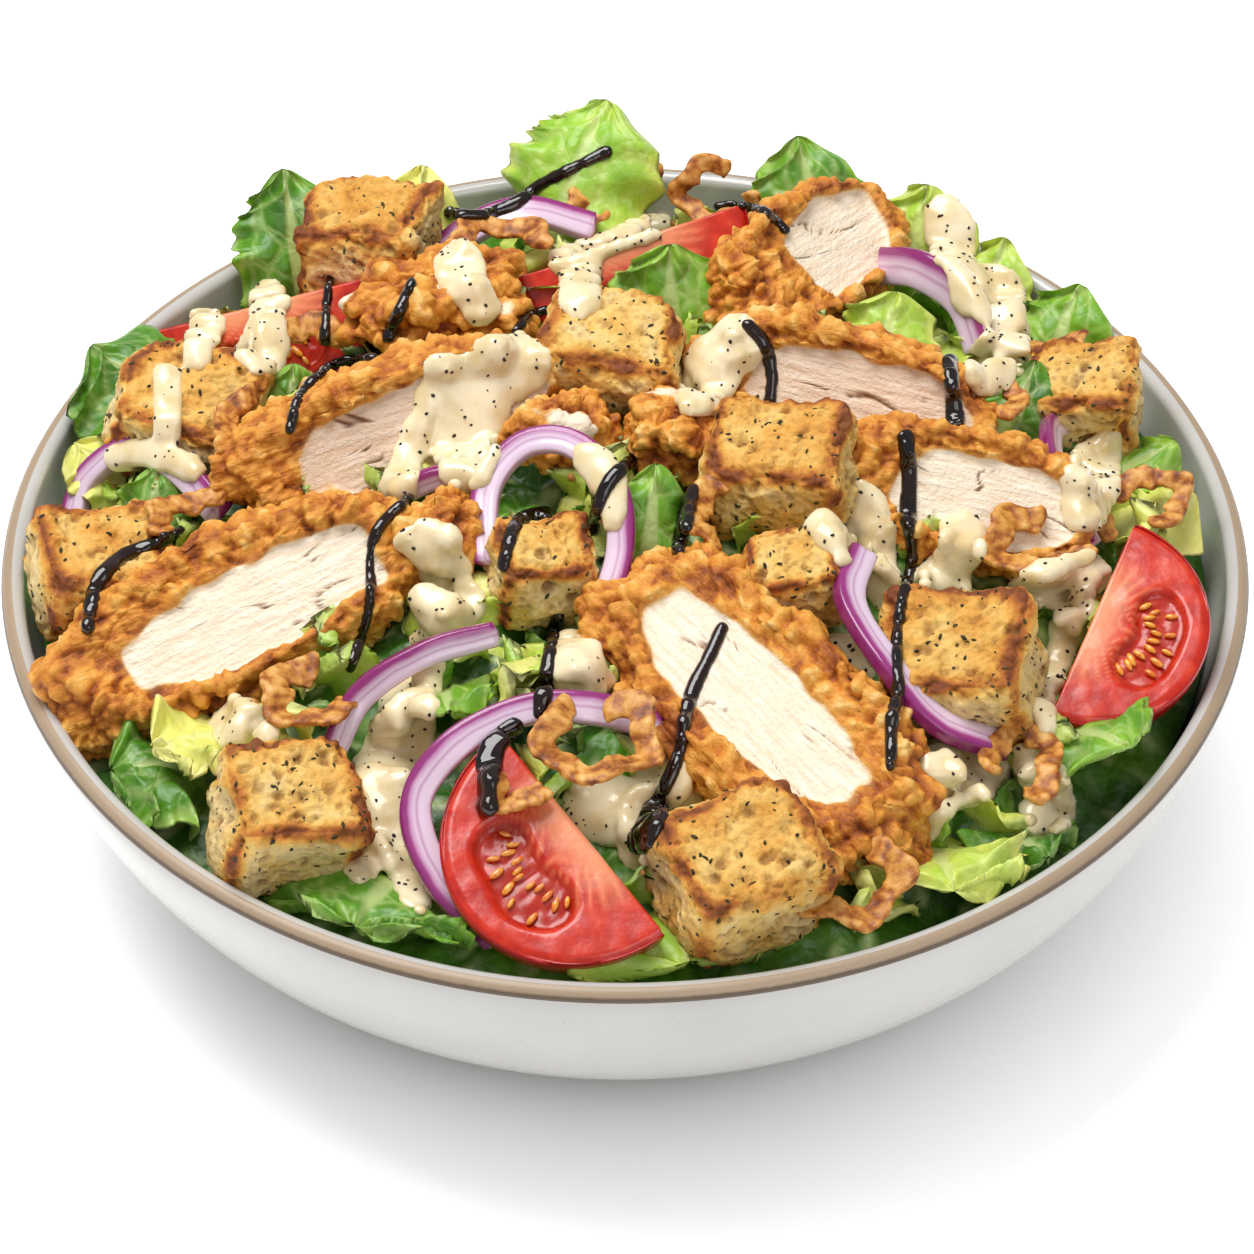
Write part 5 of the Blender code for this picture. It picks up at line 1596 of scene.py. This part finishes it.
class ChickenLook(bpy.types.PropertyGroup):
    """Chicken slices and crust nuggets."""

    around: whole_number("Steps round", "Steps round a slice", 330, 24)
    knob_height: amount("Knob height", "Height of the crust's knobs in mm", 3.8)
    crust: colour("Crust", "Golden crust", "#D68A30")
    # Painted light: the crust tips colour is a painted highlight on the knobs, the crease colour a painted
    # shade.
    crust_tip_highlight: colour("Crust tips", "Crust on its high points", "#F4CA80")
    crust_dark: colour("Crust creases", "Crust in its creases", "#6A300A")
    meat: colour("Meat", "White meat", "#FCEFDC")


class CroutonLook(bpy.types.PropertyGroup):
    """Croutons."""

    cuts: whole_number("Cuts", "Cuts along each edge of a cube", 44, 4)
    crumb: colour("Crumb", "Pale bread crumb", "#E9CE92")
    toast: colour("Toast", "Golden toasted face", "#DD9F40")
    scorch: colour("Scorched edge", "Brown edges", "#7A3A10")


class TomatoLook(bpy.types.PropertyGroup):
    """Tomato wedges."""

    rings: whole_number("Rings", "Steps from end to end of a wedge", 84, 12)
    flesh: colour("Flesh", "Cut flesh", "#CC2C14")
    peel: colour("Peel", "Skin", "#B5120A")
    gel: colour("Gel", "Gel in the seed pockets", "#A81E08")
    seed: colour("Seeds", "Seeds", "#F2A93C")


class OnionLook(bpy.types.PropertyGroup):
    """Red onion arcs and fried onions."""

    cells: whole_number("Cells", "Steps between two points of an arc", 16, 3)
    shred_rows: whole_number("Fried rows", "Steps along a fried onion", 90, 8)
    layers: colour("Layers", "Pale onion layers", "#DFC8DB")
    skin: colour("Onion skin", "Purple outer skin", "#861F66")
    crisp: colour("Fried onion", "Crisp fried onion", "#D08F3C")


class LeafLook(bpy.types.PropertyGroup):
    """Lettuce."""

    leaf_rows: whole_number("Rows", "Steps along a leaf", 60, 6)
    leaf_columns: whole_number("Columns", "Steps across a leaf", 42, 4)
    leaf_thickness: amount("Thickness", "Leaf thickness in mm", 0.8)
    frill_length: amount("Frill length", "Length of an edge wave in mm", 12.0)
    scraps: amount("Scraps", "Leaf scraps per square metre of bed", 8200.0)
    scrap_reach: amount("Scrap reach", "Radius that scraps cover, in mm", 106.0)
    dark: colour("Dark leaf", "Darkest leaf", "#2A5A10")
    green: colour("Green leaf", "Fresh green leaf", "#8FBF34")
    yellow: colour("Yellow leaf", "Heart leaf", "#F3EC82")
    rib: colour("Ribs", "Ribs and veins", "#DCE6A2")


class SauceLook(bpy.types.PropertyGroup):
    """Dressing, glaze and flecks."""

    dressing_grain: amount("Dressing grain", "Voxel of the dressing in mm", 0.6)
    balsamic_grain: amount("Balsamic grain", "Voxel of the glaze in mm", 0.38)
    pepper: amount("Pepper", "Pepper grains per square metre of dressing", 60000.0)
    herbs: amount("Herbs", "Herb flecks per square metre of crouton", 56000.0)
    crumbs: amount("Crumbs", "Crust crumbs per square metre of bed", 2600.0)
    cream: colour("Dressing", "Creamy dressing", "#F4E5C0")
    cream_shadow: colour("Dressing shade", "Darker swirls of the dressing", "#E2CA94")
    syrup: colour("Glaze", "Balsamic glaze", "#0A0403")


class StageLook(bpy.types.PropertyGroup):
    """Floor, lights and camera."""

    floor: bpy.props.FloatProperty(name="Floor", description="Width of the floor", default=12.0,
                                   subtype="DISTANCE", unit="LENGTH")
    sky: amount("Sky", "Strength of the white surroundings", 0.34)
    key: bpy.props.FloatProperty(name="Key light", description="Power of the large light above, in watts",
                                 default=16.0, subtype="POWER", unit="POWER")
    fill: bpy.props.FloatProperty(name="Fill light", description="Power of the front light, in watts",
                                  default=3.0, subtype="POWER", unit="POWER")


# Operators

class SALAD_OT_bowl(bpy.types.Operator):
    """Make the glazed bowl"""

    bl_idname = "salad.bowl"
    bl_label = "Bowl"

    def execute(self, context):
        make_bowl(context.scene.bowl_look)
        return {"FINISHED"}


class SALAD_OT_leaves(bpy.types.Operator):
    """Make the bed of lettuce with its leaves and scraps"""

    bl_idname = "salad.leaves"
    bl_label = "Lettuce"

    def execute(self, context):
        look = context.scene.leaf_look
        leaf = lettuce(look)
        core = lettuce_core(look, leaf)
        for number, row in enumerate(LEAVES):
            lettuce_leaf(row, look, leaf, number)
        scatter("lettuce_scraps", [core], scrap_shape("scrap"), leaf,
                {"Per square metre": look.scraps, "Least upward": 0.4, "Smallest": 0.65, "Largest": 1.2,
                 "Lean": 1.0, "Reach": look.scrap_reach * MM, "Seed": 4, "Palest": 0.9}, "lettuce")
        return {"FINISHED"}


class SALAD_OT_chicken(bpy.types.Operator):
    """Make the fried chicken slices and the crust nuggets"""

    bl_idname = "salad.chicken"
    bl_label = "Fried chicken"

    def execute(self, context):
        look = context.scene.chicken_look
        noise.seed_set(CRAG_SEED)
        crust = (fried_crust("fried_crust", look, False), fried_crust("fried_crust_dark_meat", look, True))
        for row in CHICKEN:
            chicken_slice(row, look, crust)
        for row in NUGGETS:
            crust_nugget(row, look, crust)
        return {"FINISHED"}


class SALAD_OT_croutons(bpy.types.Operator):
    """Make the croutons"""

    bl_idname = "salad.croutons"
    bl_label = "Croutons"

    def execute(self, context):
        look = context.scene.crouton_look
        bread = toasted_bread(look)
        for row in CROUTONS:
            crouton(row, look, bread)
        return {"FINISHED"}


class SALAD_OT_tomatoes(bpy.types.Operator):
    """Make the tomato wedges with their seeds"""

    bl_idname = "salad.tomatoes"
    bl_label = "Tomatoes"

    def execute(self, context):
        look = context.scene.tomato_look
        surfaces = (cut_tomato(look), tomato_seed(look))
        for row in TOMATOES:
            tomato_wedge(row, look, surfaces)
        return {"FINISHED"}


class SALAD_OT_onions(bpy.types.Operator):
    """Make the red onion arcs and the fried onions"""

    bl_idname = "salad.onions"
    bl_label = "Onions"

    def execute(self, context):
        look = context.scene.onion_look
        onion = red_onion(look)
        for row in ONIONS:
            onion_arc(row, look, onion)
        crisp = fried_onion_crisp(look)
        for row in SHREDS:
            fried_onion(row, look, crisp)
        return {"FINISHED"}


class SALAD_OT_sauces(bpy.types.Operator):
    """Pour the dressing and the balsamic glaze, and scatter pepper, herbs and crumbs"""

    bl_idname = "salad.sauces"
    bl_label = "Sauces"

    def execute(self, context):
        look = context.scene.sauce_look
        trees = pile_trees()
        dressing = pour("poured_dressing", DRESSING, DRESSING_DROP, look.dressing_grain, 12,
                        cream_dressing(look), trees)
        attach(dressing, ROOT)
        bpy.context.view_layer.update()
        glaze = pour("balsamic_glaze", BALSAMIC, BALSAMIC_DROP, look.balsamic_grain, 10,
                     balsamic_glaze(look), pile_trees())
        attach(glaze, ROOT)
        scatter("pepper_flecks", [dressing], grain_shape("pepper", (0.9, 0.7, 0.5), 2),
                dry_fleck("cracked_pepper", "#16110D", "#3B2D21", 0.7),
                {"Per square metre": look.pepper, "Least upward": 0.1, "Smallest": 0.4, "Largest": 1.3,
                 "Lean": 0.6, "Seed": 7, "Palest": 0.5}, None)
        croutons = [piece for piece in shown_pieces() if piece.name.startswith("crouton")]
        scatter("herb_flecks", croutons, grain_shape("herb", (1.4, 0.8, 0.4), 5),
                dry_fleck("dried_herb", "#1E1C0C", "#4A4420", 0.8),
                {"Per square metre": look.herbs, "Least upward": -0.4, "Smallest": 0.4, "Largest": 1.2,
                 "Lean": 0.5, "Seed": 11, "Palest": 0.5}, "toasted_bread")
        bed = [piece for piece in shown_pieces() if piece.name == "lettuce_scraps"]
        scatter("crust_crumbs", bed, grain_shape("crumb", (2.4, 2.0, 1.6), 8),
                dry_fleck("crust_crumb", "#9C5A20", "#DDA352", 0.6),
                {"Per square metre": look.crumbs, "Least upward": 0.3, "Smallest": 0.4, "Largest": 1.3,
                 "Lean": 1.0, "Seed": 13, "Palest": 0.5}, "fried_crust")
        return {"FINISHED"}


class SALAD_OT_stage(bpy.types.Operator):
    """Make the floor, the lights and the camera of the photograph"""

    bl_idname = "salad.stage"
    bl_label = "Stage"

    def execute(self, context):
        look = context.scene.stage_look
        scene = context.scene
        half = look.floor / 2
        mesh = bpy.data.meshes.new("floor")
        corners = [(-half, -half, 0), (half, -half, 0), (half, half, 0), (-half, half, 0)]
        mesh.from_pydata(corners, [], [(0, 1, 2, 3)])
        mesh.materials.append(studio_white())
        floor = add_object("floor", mesh)
        floor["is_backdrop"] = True
        world = bpy.data.worlds.new("studio")
        scene.world = world
        world.use_nodes = True
        sky = world.node_tree.nodes["Background"]
        sky.inputs["Color"].default_value = (1.0, 1.0, 1.0, 1.0)
        sky.inputs["Strength"].default_value = look.sky
        for name, place, size, power in (("key", KEY_PLACE, KEY_WIDTH, look.key),
                                         ("fill", FILL_PLACE, FILL_WIDTH, look.fill)):
            light = bpy.data.lights.new(name, "AREA")
            light.size = size
            light.energy = power
            lamp = add_object(name, light)
            lamp.location = place
            aim = Vector(LIT_PLACE) - Vector(place)
            lamp.rotation_euler = aim.to_track_quat("-Z", "Y").to_euler()
        tilt = math.radians(CAMERA_ELEVATION)
        camera = bpy.data.cameras.new("camera")
        camera.lens = CAMERA_LENS
        camera.sensor_width = SENSOR_WIDTH
        viewer = add_object("camera", camera)
        back = Vector((0.0, -math.cos(tilt), math.sin(tilt)))
        viewer.location = Vector(CAMERA_AIM) + back * CAMERA_DISTANCE
        viewer.rotation_euler = (math.pi / 2 - tilt, 0.0, 0.0)
        scene.camera = viewer
        scene.view_settings.view_transform = "Standard"
        return {"FINISHED"}


class SALAD_PT_pieces(bpy.types.Panel):
    """Lists the salad's pieces"""

    bl_idname = "SALAD_PT_pieces"
    bl_label = "Chicken caesar salad"
    bl_space_type = "VIEW_3D"
    bl_region_type = "UI"
    bl_category = "Salad"

    def draw(self, context):
        for operator in OPERATORS:
            self.layout.operator(operator.bl_idname)
        for name, _ in LOOKS:
            look = getattr(context.scene, name)
            for setting in look.bl_rna.properties:
                if not setting.is_readonly and setting.identifier != "name":
                    self.layout.prop(look, setting.identifier)


LOOKS = (("bowl_look", BowlLook), ("leaf_look", LeafLook), ("chicken_look", ChickenLook),
         ("crouton_look", CroutonLook), ("tomato_look", TomatoLook), ("onion_look", OnionLook),
         ("sauce_look", SauceLook), ("stage_look", StageLook))
OPERATORS = (SALAD_OT_bowl, SALAD_OT_leaves, SALAD_OT_chicken, SALAD_OT_croutons, SALAD_OT_tomatoes,
             SALAD_OT_onions, SALAD_OT_sauces, SALAD_OT_stage)


def register():
    """Register the settings, operators and panel."""
    for name, look in LOOKS:
        bpy.utils.register_class(look)
        setattr(bpy.types.Scene, name, bpy.props.PointerProperty(type=look))
    for operator in OPERATORS:
        bpy.utils.register_class(operator)
    bpy.utils.register_class(SALAD_PT_pieces)


def unregister():
    """Undo register."""
    bpy.utils.unregister_class(SALAD_PT_pieces)
    for operator in reversed(OPERATORS):
        bpy.utils.unregister_class(operator)
    for name, look in reversed(LOOKS):
        delattr(bpy.types.Scene, name)
        bpy.utils.unregister_class(look)


def main():
    """Make every piece in order."""
    register()
    bpy.ops.salad.bowl()
    bpy.ops.salad.leaves()
    bpy.ops.salad.chicken()
    bpy.ops.salad.croutons()
    bpy.ops.salad.tomatoes()
    bpy.ops.salad.onions()
    bpy.ops.salad.sauces()
    bpy.ops.salad.stage()


if __name__ == "__main__":
    main()
